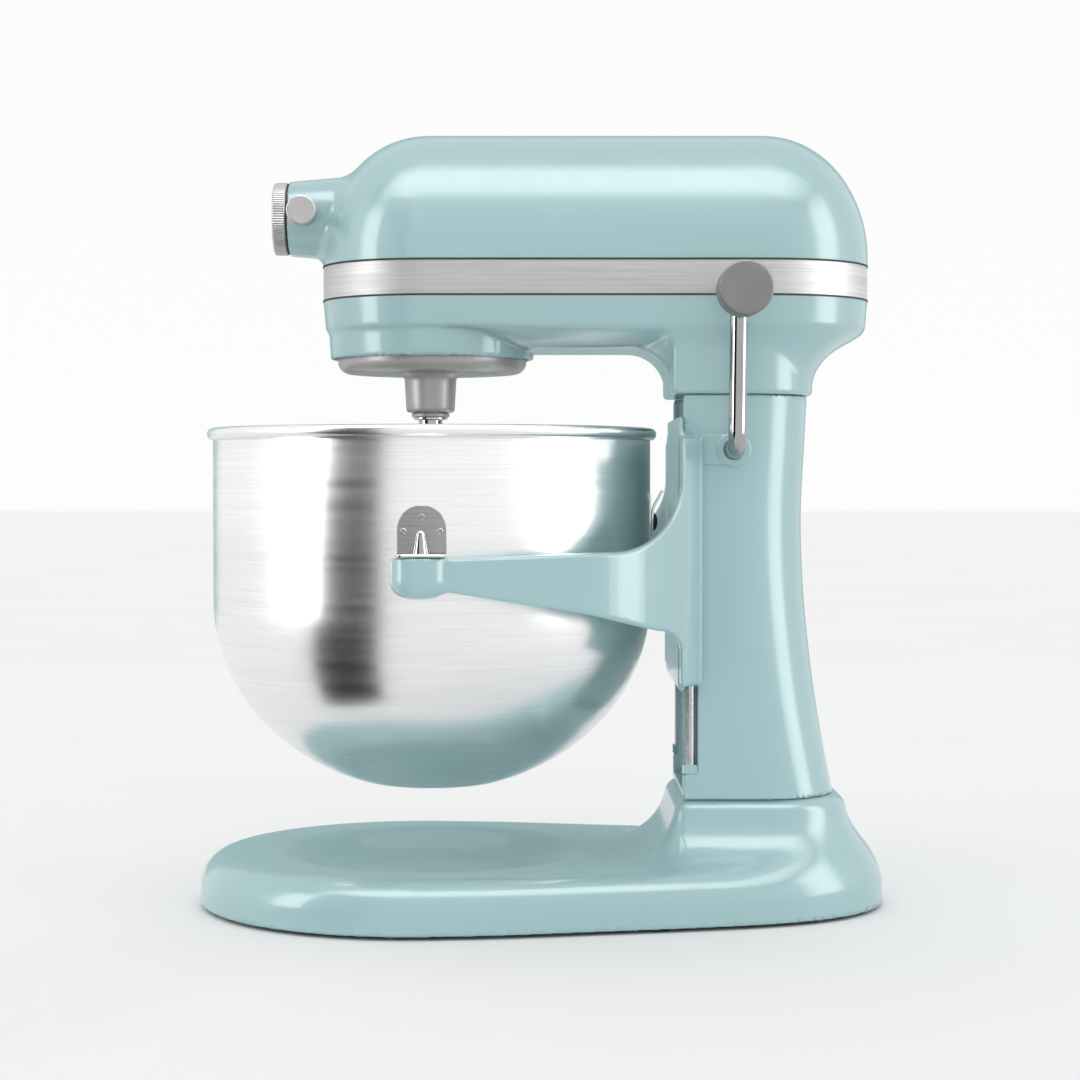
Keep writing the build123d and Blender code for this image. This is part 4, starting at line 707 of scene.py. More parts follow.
def make_hub_knob():
    """Round thumb knob with a rolled edge."""
    y = (HUB_KNOB_LOW[1] + HUB_KNOB_HIGH[1]) / 2
    z = (HUB_KNOB_LOW[2] + HUB_KNOB_HIGH[2]) / 2
    x1 = HUB_KNOB_HIGH[0]
    r = 8.0
    profile = [(0, x1 - 0.25), (r * 0.7, x1 - 0.12)]
    profile += [(r - 1.0 + px, x1 - 1.0 + pz) for px, pz in arc((0, 0), 1.0, 90, 0, 6)]
    profile += [(r, x1 - 9.0), (r - 0.5, x1 - 9.4), (r - 0.5, x1 - 12.2), (r - 1.2, x1 - 13.2)]
    profile += [(4.5, x1 - 13.5), (3.2, x1 - 13.5), (3.2, HUB_KNOB_LOW[0]), (0, HUB_KNOB_LOW[0])]
    turned("hub_knob_turned", profile, (0, y, z), "x", 72, 30,
           "cap", "hub_knob", "satin_knob", "hub_knob")


def speed_lever_field(x, y, z):
    """Flat stem through the slot and a waisted finger knob."""
    stem = meet(np.abs(y - SPEED_Y) - 4.0, np.abs(z - SLOT_Z) - 1.8, 0.8)
    stem = np.maximum(stem, between(x, SPEED_LOW[0] + 3.0, SPEED_HIGH[0]))
    waist = 0.9 * (1 - np.clip(((x - SPEED_LOW[0]) / 8.5 - 0.5) * 2, -1, 1) ** 2)
    outline = meet(np.abs(y - SPEED_Y) - (6.0 - waist), np.abs(z - SLOT_Z) - (4.5 - waist), 3.2)
    knob = meet(outline, between(x, SPEED_LOW[0], SPEED_LOW[0] + 8.5), 1.6)
    return join(stem, knob, 0.8)


def make_speed_lever():
    """Speed lever on the far side of the head."""
    piece = casting("speed_lever_moulding", speed_lever_field, SPEED_LOW, SPEED_HIGH, 0.55)
    finish_piece(piece, "plastic", "speed_lever", "black_plastic", "speed_lever")


# ---------------- planetary ----------------
def planetary_field(x, y, z):
    """Domed disc with the offset boss blended into it."""
    r = np.hypot(x, y - NOSE_Y)
    dome = 287.6 + 0.00028 * r * r + np.clip(r - 30, 0, 40) ** 2 * 0.0016
    disc = meet(r - 51.3, dome - z, 6.0)
    disc = np.maximum(disc, z - 299.0)
    reach = np.hypot(x - SHAFT_X, y - NOSE_Y)
    boss = reach - (12.9 + np.clip(z - PLANET_LOW[2], 0, 30) * 0.055)
    boss = np.maximum(meet(boss, PLANET_LOW[2] - z, 1.8), z - 294)
    body = join(disc, boss, 4.0)
    bore = reach - 7.0
    return np.maximum(body, -bore)


def make_planetary():
    """Planetary housing, washers and beater shaft."""
    low = (-52, NOSE_Y - 52, PLANET_LOW[2])
    high = (52, NOSE_Y + 52, 299)
    piece = casting("planetary_body", planetary_field, low, high, STEP_FINE)
    finish_piece(piece, "planet", "planetary", "planetary_grey", "planetary_housing")
    centre = (SHAFT_X, NOSE_Y, 0)
    z = SHAFT_LOW[2]
    profile = [(0, z), (5.0, z), (5.9, z + 0.4), (6.35, z + 1.2), (6.35, z + 38.8), (6.8, z + 39.2)]
    profile += [(6.8, z + 84.5), (0, z + 84.5)]
    turned("beater_shaft_turned", profile, centre, "z", 72, 30,
           "rod", "beater_drive", "chrome", "beater_shaft")
    top = PLANET_LOW[2] - 0.3
    washer = [(6.8, top), (9.6, top), (10.2, top - 0.5), (10.2, top - 1.6), (9.7, top - 2.1)]
    washer += [(6.8, top - 2.1), (6.8, top)]
    turned("beater_washer_ring", washer, centre, "z", 72, 30,
           "planet", "beater_drive", "planetary_grey", "beater_washers")
    low_z = top - 2.2
    clip = [(6.8, low_z), (8.8, low_z), (9.2, low_z - 0.4), (9.2, low_z - 0.9), (8.4, low_z - 1.2)]
    clip += [(6.8, low_z - 1.5), (6.8, low_z)]
    turned("beater_clip_ring", clip, centre, "z", 72, 30,
           "chrome", "beater_drive", "chrome", "beater_washers")


# ---------------- column ----------------
COLUMN_HALF = 50.0
COLUMN_FRONT = COLUMN_LOW[1]
COLUMN_REAR_KNOTS = [  # height and depth of the column's back
    (COLUMN_LOW[2], 158.8), (93, 152.7), (119, 148.3), (145, 145.0),
    (180, 142.0), (214, 141.2), (250, 142.9), (COLUMN_HIGH[2], 144.2),
]
COLUMN_CORNER = 38.0
PAD_HALF = 8.1
GUIDE_Y = (GUIDE_LOW[1] + GUIDE_HIGH[1]) / 2
GUIDE_Z0 = GUIDE_LOW[2] + 5.0
GUIDE_Z1 = 254.0


def smooth_row(z, knots):
    """Smooth interpolation of (z, value) knots with cubic Hermite spans."""
    zs = np.array([k[0] for k in knots])
    vs = np.array([k[1] for k in knots])
    slopes = np.gradient(vs, zs)
    zc = np.clip(z, zs[0], zs[-1])
    i = np.clip(np.searchsorted(zs, zc) - 1, 0, len(zs) - 2)
    h = zs[i + 1] - zs[i]
    t = (zc - zs[i]) / h
    a = (1 + 2 * t) * (1 - t) ** 2 * vs[i] + t * (1 - t) ** 2 * h * slopes[i]
    return a + t * t * (3 - 2 * t) * vs[i + 1] + t * t * (t - 1) * h * slopes[i + 1]


def column_plan(x, y, z):
    """Column section: crisp front corners and large round rear corners."""
    rear = smooth_row(z, COLUMN_REAR_KNOTS)
    front = meet(np.abs(x) - COLUMN_HALF, COLUMN_FRONT - y, 1.2)
    back = meet(np.abs(x) - COLUMN_HALF, y - rear, COLUMN_CORNER)
    return np.maximum(front, back)


def lever_pad(x, y, z):
    """Low relief pad and pivot boss, sunk into the column's side."""
    boss = np.hypot(y - PIVOT_Y, z - PIVOT_Z) - 9.2
    strip = meet(np.abs(z - PIVOT_Z) - PAD_HALF, between(y, 84.5, PIVOT_Y), 1.0)
    boss = meet(boss, between(x, COLUMN_HALF - 3, COLUMN_HALF + 2.4), 1.3)
    strip = meet(strip, between(x, COLUMN_HALF - 3, COLUMN_HALF + 1.5), 0.9)
    lug = rod(y, z, 77.2, 254.4, 5.4)
    lug = meet(lug, between(x, COLUMN_HALF - 3, COLUMN_HALF + 0.7), 0.6)
    pad = np.minimum(join(boss, strip, 0.6), np.maximum(lug, 75.8 - y))
    hole = np.hypot(y - PIVOT_Y, z - PIVOT_Z) - 5.3
    return cut(pad, hole, 0.4)


def make_lever_pad():
    """Relief on the column's side, its own fine mesh."""
    low = (COLUMN_HALF - 3, 75.6, PIVOT_Z - 11)
    high = (COLUMN_HALF + 2.5, PIVOT_Y + 10, PIVOT_Z + 13)
    piece = casting("lever_pad_relief", lever_pad, low, high, 0.55)
    finish_piece(piece, "enamel", "frame", "paint")


def column_field(x, y, z):
    """Column: shell with the guide slots, carrier recess and pivot hole."""
    skin = column_plan(x, y, z)
    body = meet(skin, COLUMN_LOW[2] - z, 0.6)
    body = meet(body, z - COLUMN_HIGH[2], 0.9)
    hollow = np.maximum(column_plan(x, y, z) + 4.5, 86.0 - y)
    body = np.maximum(body, -hollow)
    recess = meet(np.abs(x) - 43.0, np.maximum(y - 80.0, 66.0 - z), 1.5)
    body = cut(body, recess, 0.8)
    window = np.maximum(np.maximum(np.abs(x) - 13.0, 150.0 - z), y - 90.0)
    body = np.maximum(body, -window)
    slot_x = GUIDE_HIGH[0] - 5.8
    groove = np.maximum(slot_x - np.abs(x), between(z, GUIDE_Z0, GUIDE_Z1))
    groove = np.maximum(np.abs(y - GUIDE_Y) - 3.9, groove)
    body = cut(body, groove, 0.7)
    hole = np.maximum(rod(y, z, PIVOT_Y, PIVOT_Z, 7.2), 30.0 - x)
    body = np.maximum(body, -hole)
    outlet = np.maximum(rod(x, z, 0, 86.0, 8.0), 120.0 - y)
    return np.maximum(body, -outlet)


def make_column():
    """Column casting."""
    low = (-COLUMN_HALF - 1, COLUMN_LOW[1], COLUMN_LOW[2])
    high = (COLUMN_HALF + 1.5, COLUMN_HIGH[1], COLUMN_HIGH[2])
    piece = casting("column_shell", column_field, low, high, STEP_COLUMN)
    finish_piece(piece, "enamel", "frame", "paint", "column_casting")


# ---------------- base ----------------
BASE_FRONT_R = (BASE_HIGH[0] - BASE_LOW[0]) / 2
BASE_FRONT_Y = BASE_LOW[1] + BASE_FRONT_R
SHOULDER_Z = 29.0
PLINTH_Z = COLUMN_LOW[2]
DISH_R = 84.0


def base_outline():
    """Closed plan outline of the base: a front circle narrowing to a round tail."""
    right = []
    for a in range(0, 96, 3):
        across, along = sin(radians(a)), cos(radians(a))
        right.append((BASE_FRONT_R * across, BASE_FRONT_Y - BASE_FRONT_R * along))
    waist = [right[-1], (113.5, -20), (103.6, 30), (93.8, 78), (82, 122), (66, 150)]
    waist += [(44, 171), (22, 182), (0, BASE_HIGH[1])]
    tail = curve_points(waist, 10)
    half = right[:-1] + tail
    return half + [(-x, y) for x, y in half[-2:0:-1]]


def outline_grid(points):
    """Sampled signed distance to a closed outline, as a smooth lookup."""
    step = 1.5
    xs = np.arange(-135, 135.1, step)
    ys = np.arange(-200, 200.1, step)
    gx, gy = np.meshgrid(xs, ys, indexing="ij")
    distance = polyline_distance(gx, gy, points + [points[0]])
    inside = np.zeros(gx.shape, bool)
    for (ax, ay), (bx, by) in zip(points, points[1:] + [points[0]]):
        crosses = (ay > gy) != (by > gy)
        at = ax + (gy - ay) / (by - ay if by != ay else 1e-9) * (bx - ax)
        inside ^= crosses & (gx < at)
    table = np.where(inside, -distance, distance)
    for _ in range(14):
        table[1:-1] = (table[:-2] + 2 * table[1:-1] + table[2:]) / 4
        table[:, 1:-1] = (table[:, :-2] + 2 * table[:, 1:-1] + table[:, 2:]) / 4

    def cubic(t):
        """Catmull-Rom weights of the four neighbours."""
        return (
            ((2 - t) * t - 1) * t / 2,
            ((3 * t - 5) * t * t + 2) / 2,
            ((4 - 3 * t) * t + 1) * t / 2,
            (t - 1) * t * t / 2,
        )

    def lookup(x, y):
        u = np.clip((x - xs[0]) / step, 1, len(xs) - 3.001)
        v = np.clip((y - ys[0]) / step, 1, len(ys) - 3.001)
        i, j = u.astype(int), v.astype(int)
        across, along = cubic(u - i), cubic(v - j)
        total = 0.0
        for m in range(4):
            for n in range(4):
                total = total + table[i + m - 1, j + n - 1] * across[m] * along[n]
        return total

    return lookup


def plinth_plan(x, y):
    """Plan distance to the plinth under the column."""
    half = 55.0
    front = meet(np.abs(x) - half, 68.5 - y, 10.0)
    back = meet(np.abs(x) - half, y - 168.0, 43.0)
    return np.maximum(front, back)


def base_top(x, y, z, outline):
    """Upper skin of the base: rim, dish and plinth, endless downwards."""
    r = np.hypot(x, y - BOWL_Y)
    dip = 10.5 * smooth_step(DISH_R - r, 0.0, 34.0)
    rim = outline(x, y) + np.clip(z - 6, -6, 20) * 0.06
    plate = meet(rim, (z - SHOULDER_Z + dip) * 0.97, 15.0)
    plinth = meet(plinth_plan(x, y) + np.clip(z - 40, -20, 30) * 0.16, z - PLINTH_Z, 7.0)
    return join(plate, plinth, 26.0)


def make_base():
    """Base casting with a hollow underside."""
    outline = outline_grid(base_outline())

    def field(x, y, z):
        skin = base_top(x, y, z, outline)
        hollow = skin + 6.0
        body = meet(skin, BASE_LOW[2] - z, 1.6)
        return np.maximum(body, -hollow)

    piece = casting("base_shell", field, BASE_LOW, BASE_HIGH, STEP_BASE)
    finish_piece(piece, "enamel", "frame", "paint", "base_casting")


# ---------------- bowl carrier ----------------
ARM_TOP = 192.5
SWEEP_Y = 36.5
SWEEP_Z = 231.0
SWEEP_R = 36.3
CARRIER_FRONT = 72.8
KNUCKLE_Y = BOWL_Y - 0.7
ARM_KNOTS = [(54, 80), (66, 76), (86, 64), (106, 46), (121, 22), (129, -8), (131, -36), (131, -50)]
ARM_PATH = curve_points(ARM_KNOTS, 8)


def arm_side(distance, y, z):
    """Arm and its flare on the guide block, cut to its side profile."""
    thick = np.interp(y, [-60, -20, 40, 80], [5.0, 5.8, 6.4, 5.0])
    level = np.interp(y, [-70, -44, 20, 90], [ARM_TOP - 0.3, ARM_TOP - 0.3, 194.4, 196.5])
    lower = np.interp(y, [-70, -44, 0, 25, 60], [176.6, 175.4, 168.2, 163.8, 154.2])
    body = meet(distance - thick, between(z, 124.0, 253.0), 1.5)
    sweep = np.hypot(y - SWEEP_Y, np.minimum(z - SWEEP_Z, 0)) - SWEEP_R
    above = np.minimum(sweep, np.maximum(y - SWEEP_Y, level - z))
    below = np.hypot(y - 60.2, np.maximum(z - 141.8, 0)) - 12.3
    below = np.minimum(below, np.maximum(y - 60.2, z - lower))
    return cut(cut(body, above, 2.4), below, 2.4)


def carrier_field(x, y, z):
    """Bowl carrier: slide plate, guide blocks and two curved arms."""
    u = np.abs(x)
    plate_low = 118.0
    plate = meet(u - 57.4, between(y, CARRIER_FRONT, CARRIER_FRONT + 2.3), 0.8)
    plate = meet(plate, between(z, plate_low, 268.0), 1.0)
    top_chamfer = (z - 268.0 + (CARRIER_FRONT + 5.0 - y) * 1.0) * 0.7
    plate = np.maximum(plate, top_chamfer)
    plate = np.maximum(plate, (plate_low + 4.0 - (y - CARRIER_FRONT) * 1.8 - z) * 0.5)
    back = meet(u - 42.0, between(y, CARRIER_FRONT + 2.0, 79.6), 0.8)
    back = np.maximum(back, between(z, plate_low, 262.0))
    block = meet(between(u, 50.5, 58.0), between(y, CARRIER_FRONT, 85.2), 1.6)
    foot = 124.0 + 2.4 * (1 - np.clip(1 - ((y - 79.2) / 6.2) ** 2, 0, 1))
    block = meet(block, np.maximum(foot - z, z - 253.0), 1.4)
    body = np.minimum(np.minimum(plate, back), block)
    distance = polyline_distance(u, y, ARM_PATH)
    arm = np.maximum(arm_side(distance, y, z), y - 84.8)
    knuckle = (np.hypot((u - PIN_X) / 11.3, (y - KNUCKLE_Y) / 14.4) - 1.0) * 12.0
    knuckle = meet(meet(knuckle, 172.2 - z, 8.5), z - ARM_TOP, 0.8)
    arms = join(arm, knuckle, 2.2)
    body = join(body, arms, 5.0)
    rods = np.hypot(u - (GUIDE_HIGH[0] - 2.6), y - GUIDE_Y) - 2.7
    body = np.maximum(body, -rods)
    stop_x, stop_y, stop_z = STOPS_HIGH
    stops = np.maximum(np.abs(y - GUIDE_Y) - (stop_y - GUIDE_Y + 0.3),
                       z - (stop_z + LIFT_TRAVEL + 0.3))
    body = np.maximum(body, -np.maximum(stops, between(u, 44.0, stop_x + 0.3)))
    return np.maximum(body, y - 85.3)


def make_carrier():
    """Bowl carrier and its locating pins."""
    low = (-143, BOWL_Y - 16, CARRIER_LOW[2])
    high = (143, CARRIER_HIGH[1], CARRIER_HIGH[2])
    piece = casting("bowl_carrier_casting", carrier_field, low, high, STEP_CARRIER)
    finish_piece(piece, "enamel", "bowl_carrier", "paint", "bowl_carrier")
    for side, name in ((-1, "left"), (1, "right")):
        top = ARM_TOP
        profile = [(0, top - 2), (4.2, top - 2), (4.2, top + 1.6), (3.9, top + 2.2), (2.05, top + 12.2)]
        profile += [(1.7, top + 13.0), (1.0, top + 13.4), (0, top + 13.5)]
        turned("locating_pin_" + name, profile, (side * PIN_X, BOWL_Y, 0), "z", 48, 40,
               "rod", "bowl_carrier", "chrome", "locating_pins")


# ---------------- bowl ----------------
STRAIGHT_Z = 165.0


def make_bowl():
    """Spun bowl: straight wall, deep round bottom and rolled rim."""
    wall = 1.1
    depth = STRAIGHT_Z - BOWL_LOW[2]
    rim_z = BOWL_HIGH[2] - 3.3
    floor_z = BOWL_LOW[2] + 0.2
    outer = [(0.0, floor_z), (12.0, floor_z), (20.0, floor_z)]
    for i in range(12, 91, 2):
        a = radians(i)
        z = STRAIGHT_Z - (depth + 2.6) * cos(a)
        height = max(z, floor_z)
        soft = 3.0
        near = max(soft - abs(z - floor_z), 0.0) / soft
        outer.append((BOWL_R * sin(a), height + near * near * soft / 4))
    outer.append((BOWL_R, 200.0))
    outer.append((BOWL_R, rim_z - 3.6))
    inner = []
    for r, z in outer[:-2]:
        inner.append((max(r - wall * (r / BOWL_R), 0.0), z + wall * (1 - 0.6 * r / BOWL_R)))
    inner.append((BOWL_R - wall, 200.0))
    roll = [(RIM_R - 3.25 + px, rim_z + pz) for px, pz in arc((0, 0), 3.25, -95, 200, 22)]
    profile = outer + roll + [(BOWL_R - wall, rim_z - 1.5)] + inner[::-1]
    turned("bowl_shell", profile, (0, BOWL_Y, 0), "z", 192, 50,
           "bowl", "bowl", "brushed_bowl", "bowl")


def plate_on_bowl(name, outline, side):
    """Thin plate that follows the bowl wall; outline gives half-width at each height."""
    offset, thick, edge = 0.15, 1.15, 0.35
    points, faces = [], []
    across = 20
    layers = [(offset, 0.0), (offset + thick - edge, 0.0), (offset + thick, edge)]
    for gap, inset in layers:
        for z, half in outline:
            for i in range(across + 1):
                s = (i / across * 2 - 1) * max(half - inset, 0.02)
                a = s / BOWL_R
                r = BOWL_R + gap
                height = min(max(z, outline[0][0] + inset), outline[-1][0] - inset)
                points.append((side * r * cos(a), BOWL_Y + r * sin(a), height))
    row = across + 1
    layer = row * len(outline)
    for j in range(len(outline) - 1):
        for i in range(across):
            a = 2 * layer + j * row + i
            faces.append((a, a + 1, a + row + 1, a + row))
    for k in range(2):
        for j in range(len(outline) - 1):
            for i in (0, across):
                a = k * layer + j * row + i
                faces.append((a, a + row, a + row + layer, a + layer))
        for j in (0, len(outline) - 1):
            for i in range(across):
                a = k * layer + j * row + i
                faces.append((a, a + 1, a + 1 + layer, a + layer))
    return mesh_object(name, points, faces, 40)


def arch_outline(z0, z_spring, half):
    """(z, half width) rows of a plate with a round top."""
    rows = [(z0, half), (z_spring, half)]
    rows += [(z_spring + half * sin(radians(a)), half * cos(radians(a))) for a in range(8, 90, 6)]
    rows.append((z_spring + half, 0.05))
    return rows


def make_brackets():
    """Arched bracket plates with spot welds, and the pierced flanges under them."""
    for side, name in ((1, "right"), (-1, "left")):
        plate = plate_on_bowl("bowl_bracket_plate_" + name, arch_outline(194.4, 206.0, 12.4), side)
        finish_piece(plate, "plate", "bowl", "satin_steel", "bowl_brackets")
        for i, (dy, z) in enumerate(((0, 212.6), (-9.2, 205.5), (9.2, 205.5))):
            a = dy / BOWL_R
            r0 = BOWL_R + 1.2
            weld = ((0, 0.12), (0.5, 0.28), (0.9, 0.42), (1.3, 0.25), (1.6, -0.1))
            profile = [(r, (r0 + h) * side) for r, h in weld]
            turned(f"bowl_bracket_weld_{name}_{i}", profile, (0, BOWL_Y + BOWL_R * sin(a), z), "x", 24, 60,
                   "plate", "bowl", "satin_steel", "bowl_brackets")
        flange_piece(side, name)


def flange_piece(side, name):
    """Flat flange round the locating pin, with rounded corners and edges."""
    half = 12.4
    x1 = PIN_X + 10.6
    z0, z1 = 193.0, 194.5

    def field(x, y, z):
        u = x * side
        outline = meet(np.abs(y - BOWL_Y) - half, u - x1, 4.0)
        outline = np.maximum(outline, BOWL_R + 0.1 - np.hypot(x, y - BOWL_Y))
        body = meet(outline, between(z, z0, z1), 0.5)
        hole = np.hypot(u - PIN_X, y - BOWL_Y) - 4.6
        return cut(body, hole, 0.3)

    edges = sorted((side * (BOWL_R - 2), side * x1))
    low = (edges[0], BOWL_Y - half, z0)
    high = (edges[1], BOWL_Y + half, z1)
    piece = casting("bowl_flange_" + name, field, low, high, 0.6)
    finish_piece(piece, "chrome", "bowl", "satin_steel", "bowl_brackets")


def strap(name, path, half_width, thick, across, material, body, slot_name, node):
    """Flat bent strip: path in (u, z), width along `across`."""
    rows = [Vector(p) for p in path]
    count = len(rows)
    points = []
    inner = half_width - 0.5
    section = [(-half_width, -0.35), (-half_width, 0.35), (-inner, 0.5), (inner, 0.5)]
    section += [(half_width, 0.35), (half_width, -0.35), (inner, -0.5), (-inner, -0.5)]
    for i, here in enumerate(rows):
        ahead = (rows[min(i + 1, count - 1)] - rows[max(i - 1, 0)]).normalized()
        normal = Vector((-ahead.y, ahead.x))
        for w, t in section:
            p = here + normal * (t * thick)
            points.append(across(p.x, w, p.y))
    n = len(section)
    faces = round_faces(count, n)
    faces.append(tuple(range(n)))
    faces.append(tuple((count - 1) * n + j for j in range(n)))
    piece = mesh_object(name, points, faces, 40)
    return finish_piece(piece, material, body, slot_name, node)


def make_rear_clip():
    """Spring clip at the back of the bowl, with a raised tongue and a rivet."""
    wall = BOWL_Y + BOWL_R
    look = ("chrome", "bowl", "satin_steel", "bowl_rear_clip")
    lean = ((0.8, 200.5), (0.9, 204), (1.3, 213), (2.2, 216.5), (4.4, 220.6), (6.8, 225.0))
    tongue = curve_points([(wall + out, z) for out, z in lean], 6)
    strap("bowl_clip_tongue", tongue, 7.0, 1.1, lambda u, w, z: (w, u, z), *look)
    back = [(wall + 0.2, 200.5), (wall + 0.2, 223.5)]
    strap("bowl_clip_plate", back, 12.5, 0.9, lambda u, w, z: (w, u - w * w / (2 * BOWL_R), z), *look)
    dome = ((0, 4.1), (2.4, 3.9), (4.2, 3.1), (4.9, 2.0), (4.9, 1.4), (0, 1.4))
    head = [(r, wall + out) for r, out in dome]
    turned("bowl_clip_rivet_head", head, (0, 0, 208), "y", 48, 50,
           "rubber", "bowl", "screw_steel", "bowl_clip_rivet")


def make_handle():
    """Strap handle welded to the bowl's hidden front quarter."""
    angle = radians(222.0)
    direction = (cos(angle), sin(angle))
    bend = ((0.8, 224.5), (0.9, 229), (2.4, 233.2), (8, 235.6), (20, 236), (31, 233), (37, 224.5))
    bend += ((38.4, 212), (38.4, 186), (36.4, 172.5), (30.5, 164), (24, 162))
    path = curve_points([(BOWL_R + out, z) for out, z in bend], 7)

    def across(u, w, z):
        return (u * direction[0] - w * direction[1], BOWL_Y + u * direction[1] + w * direction[0], z)

    look = ("bowl", "bowl", "bowl_handle_steel", "bowl_handle")
    strap("bowl_handle_strap", path, 14.0, 2.4, across, *look)


# ---------------- lift lever ----------------
def make_lever():
    """Bent chrome rod, its round knob and the rings at the pivot."""
    rod_x = 71.5
    top = (LEVER_KNOB_LOW[2] + LEVER_KNOB_HIGH[2]) / 2
    lean_y = (LEVER_KNOB_LOW[1] + LEVER_KNOB_HIGH[1]) / 2
    foot = [(ROD_LOW[0] + 0.5, PIVOT_Y, PIVOT_Z), (rod_x, PIVOT_Y, PIVOT_Z)]
    tip = [(rod_x, lean_y, top), (ROD_HIGH[0] - 1, lean_y, top)]
    rod_piece = tube("lift_lever_bar", corner_path(foot + tip, 9.5), 4.7, 32)
    finish_piece(rod_piece, "rod", "lift_lever", "chrome", "lift_lever_rod")
    boss = [(4.4, 48.5), (5.1, 48.7), (5.15, 57.0), (4.9, 58.2), (4.4, 58.8)]
    turned("lift_lever_shoulder", boss, (0, PIVOT_Y, PIVOT_Z), "x", 48, 40,
           "rod", "lift_lever", "chrome")
    x0, x1 = LEVER_KNOB_LOW[0], LEVER_KNOB_HIGH[0]
    r = (LEVER_KNOB_HIGH[2] - LEVER_KNOB_LOW[2]) / 2 + 0.4
    profile = [(0, x1 - 0.1), (r * 0.8, x1)]
    profile += [(r - 1.1 + px, x1 - 1.1 + pz) for px, pz in arc((0, 0), 1.1, 90, 0, 7)]
    profile += [(r - 0.15, x0 + 6.0), (r - 0.9, x0 + 3.0), (r - 3.0, x0 + 0.8), (r - 5.5, x0)]
    profile += [(4.6, x0), (4.6, x0 + 3)]
    turned("lift_lever_knob_turned", profile, (0, lean_y, top), "x", 96, 35,
           "knob", "lift_lever", "satin_knob", "lift_lever_knob")
    collar = [(4.6, 44.0), (7.0, 44.0), (7.0, 47.4), (6.6, 47.8), (4.9, 47.8), (4.6, 47.5), (4.6, 44.0)]
    turned("lever_bush_ring", collar, (0, PIVOT_Y, PIVOT_Z), "x", 64, 40,
           "bronze", "frame", "bronze", "lever_bushes")


def make_guides():
    """Guide rods."""
    for side, name in ((-1, "left"), (1, "right")):
        x = side * (GUIDE_HIGH[0] - 2.6)
        z0, z1 = GUIDE_LOW[2], GUIDE_HIGH[2]
        profile = [(0, z0), (2.6, z0), (2.6, z1), (0, z1)]
        turned("guide_rod_" + name, profile, (x, GUIDE_Y, 0), "z", 40, 40,
               "steel", "frame", "chrome", "guide_rods")


def make_feet():
    """Rubber feet with a rounded rim."""
    high = mm_box("rubber_feet")[1]
    spots = [(-82, -120), (82, -120), (-84, 60), (84, 60), (0, 158)]
    for i, (x, y) in enumerate(spots):
        profile = [(0, 0.0), (7.6, 0.0), (8.6, 0.3), (9.0, 1.0), (9.0, 1.8), (7.4, 1.8)]
        profile += [(7.4, high[2]), (0, high[2])]
        turned(f"rubber_foot_{i}", profile, (x, y, 0), "z", 48, 40,
               "rubber", "frame", "black_rubber", "rubber_feet")


# ---------------- studio ----------------
HORIZON_LIGHT = 0.98
ZENITH_LIGHT = 0.95
BACK_TINT = (0.72, 1.0, 1.02)


def make_floor():
    """Plain pale floor."""
    half = 16.0
    mesh = bpy.data.meshes.new("studio_floor")
    corners = [(-half, -half, 0), (half, -half, 0), (half, half, 0), (-half, half, 0)]
    mesh.from_pydata(corners, [], [(0, 1, 2, 3)])
    floor = add_object("studio_floor", mesh)
    material, nodes, links, shader = new_material("studio_floor_paint")
    grain = noise(nodes, links, 3.0)
    links.new(ramp(nodes, links, grain, grey(0.93), grey(0.95)), shader.inputs["Base Color"])
    shader.inputs["Roughness"].default_value = 0.9
    shader.inputs["Specular IOR Level"].default_value = 0.1
    floor.data.materials.append(material)


def make_camera():
    """Long-lens camera on the lever side, looking along -X and a little down."""
    camera = bpy.data.cameras.new("camera")
    camera.lens = 79.17
    camera.sensor_width = 36.0
    camera.clip_end = 60.0
    obj = bpy.data.objects.new("camera", camera)
    bpy.context.scene.collection.objects.link(obj)
    place = Vector((1.300, 0.0, 0.231))
    target = Vector((0.0, 0.0, 0.198))
    obj.location = place
    obj.rotation_euler = (target - place).to_track_quat("-Z", "Y").to_euler()
    bpy.context.scene.camera = obj


def make_world():
    """White studio surround, a little dimmer overhead."""
    world = bpy.data.worlds.new("studio")
    bpy.context.scene.world = world
    world.use_nodes = True
    nodes, links = world.node_tree.nodes, world.node_tree.links
    background = nodes["Background"]
    place = nodes.new("ShaderNodeTexCoord")
    split = nodes.new("ShaderNodeSeparateXYZ")
    links.new(place.outputs["Generated"], split.inputs["Vector"])
    light = ranged(nodes, links, split.outputs[2], HORIZON_LIGHT, ZENITH_LIGHT, 0.0, 0.7)
    links.new(light, background.inputs["Strength"])
    background.inputs["Color"].default_value = (1, 1, 1, 1)


# ---- studio cards: azimuth in degrees from the lever side; reach and height of the near and
# far edges and the half width of each, in metres; radiance; share that fades at the rim ----
CARDS = [
    ("card_front", 0, (1.45, 1.85), (0.10, 2.00), (1.9, 1.9), 6.6, 0.30),
    ("card_left", -64, (1.70, 0.02), (1.55, 1.70), (0.52, 0.52), 6.2, 0.30),
    ("card_right", 73, (1.70, 0.02), (1.55, 1.70), (0.52, 0.52), 6.2, 0.30),
    ("card_dark", -39.5, (1.00, 0.0), (1.00, 1.40), (0.30, 0.30), 0.01, 0.0),
    ("card_dark_floor", -39.5, (0.16, 0.002), (1.00, 0.002), (0.05, 0.30), 0.01, 0.0),
    ("card_back", 180, (1.60, 0.0), (1.60, 1.60), (1.1, 1.1), 0.5, 0.0),
]


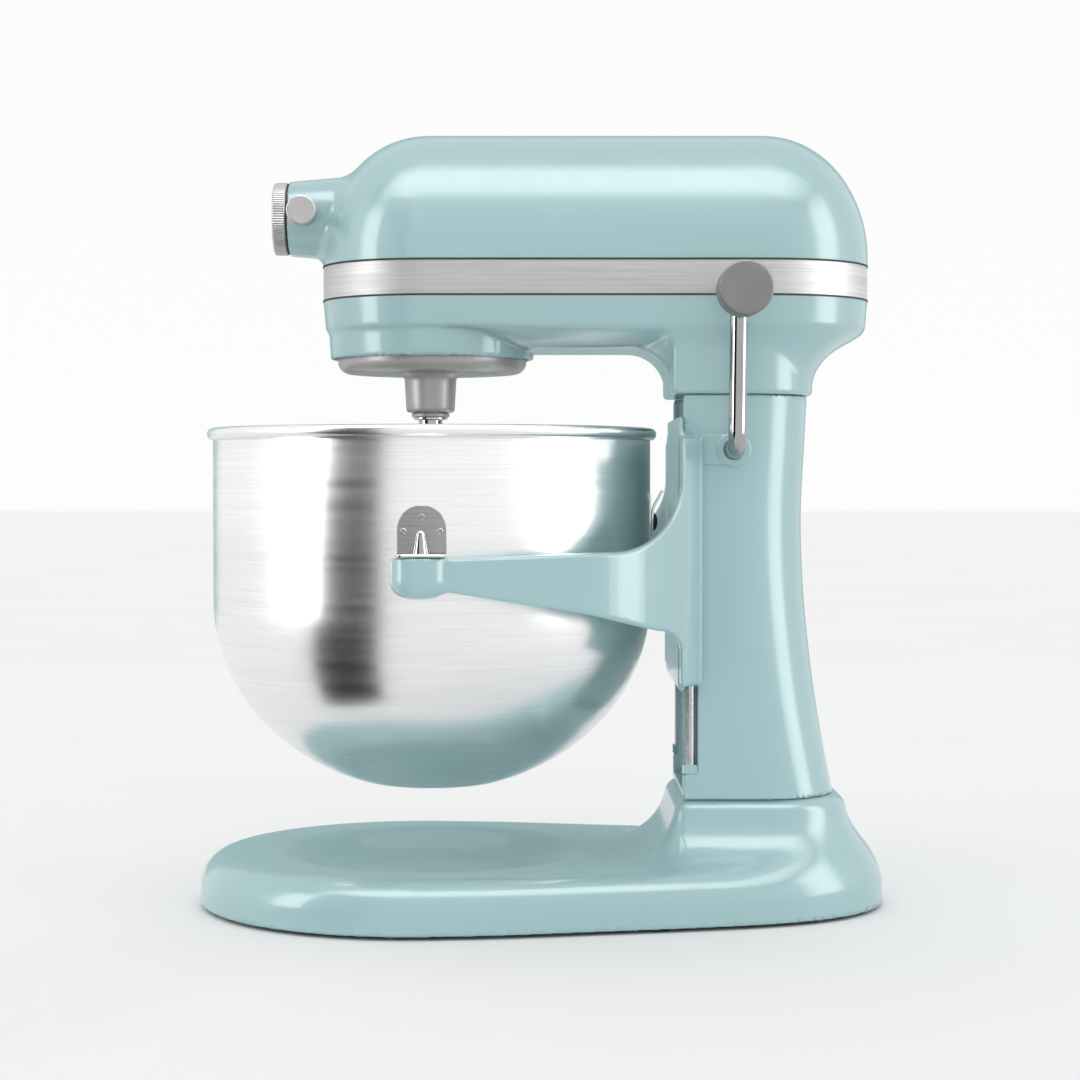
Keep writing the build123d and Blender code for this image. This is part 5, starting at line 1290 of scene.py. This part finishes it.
def make_cards():
    """Softbox cards, dark cards and a teal-grey back card, seen only in reflections."""
    for name, azimuth, near, far, halves, radiance, fade in CARDS:
        a = radians(azimuth)
        out = Vector((cos(a), sin(a), 0))
        side = Vector((-sin(a), cos(a), 0))
        centre = Vector((0, BOWL_Y * MM, 0))
        steps = [0.0, fade, 1.0 - fade, 1.0] if fade else [0.0, 1.0]
        standing = near[1] < 0.1
        rises = [0.0] + steps[2:] if fade and standing else steps
        count = len(steps)
        corners, glow = [], []
        for v in rises:
            reach = near[0] + (far[0] - near[0]) * v
            height = near[1] + (far[1] - near[1]) * v
            half = halves[0] + (halves[1] - halves[0]) * v
            for u in steps:
                foot = centre + out * reach + side * (half * (2 * u - 1))
                corners.append(foot + Vector((0, 0, height)))
                rim = u in (0.0, 1.0) or v == 1.0 or v == 0.0 and not standing
                glow.append(0.0 if fade and rim else radiance)
        faces = []
        for j in range(len(rises) - 1):
            for i in range(count - 1):
                k = j * count + i
                faces.append((k, k + 1, k + count + 1, k + count))
        mesh = bpy.data.meshes.new(name)
        mesh.from_pydata(corners, [], faces)
        layer = mesh.attributes.new("glow", "FLOAT", "POINT")
        layer.data.foreach_set("value", glow)
        card = add_object(name, mesh)
        material = bpy.data.materials.new(name + "_glow")
        material.use_nodes = True
        nodes, links = material.node_tree.nodes, material.node_tree.links
        nodes.clear()
        level = nodes.new("ShaderNodeAttribute")
        level.attribute_name = "glow"
        light = nodes.new("ShaderNodeEmission")
        tint = BACK_TINT if name == "card_back" else (1.0, 1.0, 1.0)
        light.inputs["Color"].default_value = (*tint, 1)
        links.new(level.outputs["Fac"], light.inputs["Strength"])
        output = nodes.new("ShaderNodeOutputMaterial")
        links.new(light.outputs[0], output.inputs["Surface"])
        mesh.materials.append(material)
        for flag in ("visible_camera", "visible_diffuse", "visible_shadow", "visible_transmission"):
            setattr(card, flag, False)


def main():
    """Build the whole scene."""
    bpy.context.scene.view_settings.view_transform = "Standard"
    make_camera()
    make_world()
    make_floor()
    make_cards()
    paint_cad_nodes()
    make_upper_housing()
    make_lower_case()
    make_trim_band()
    make_shell_lips()
    make_hub_cap()
    make_hub_knob()
    make_speed_lever()
    make_planetary()
    make_column()
    make_lever_pad()
    make_base()
    make_carrier()
    make_bowl()
    make_brackets()
    make_rear_clip()
    make_handle()
    make_lever()
    make_guides()
    make_feet()


main()
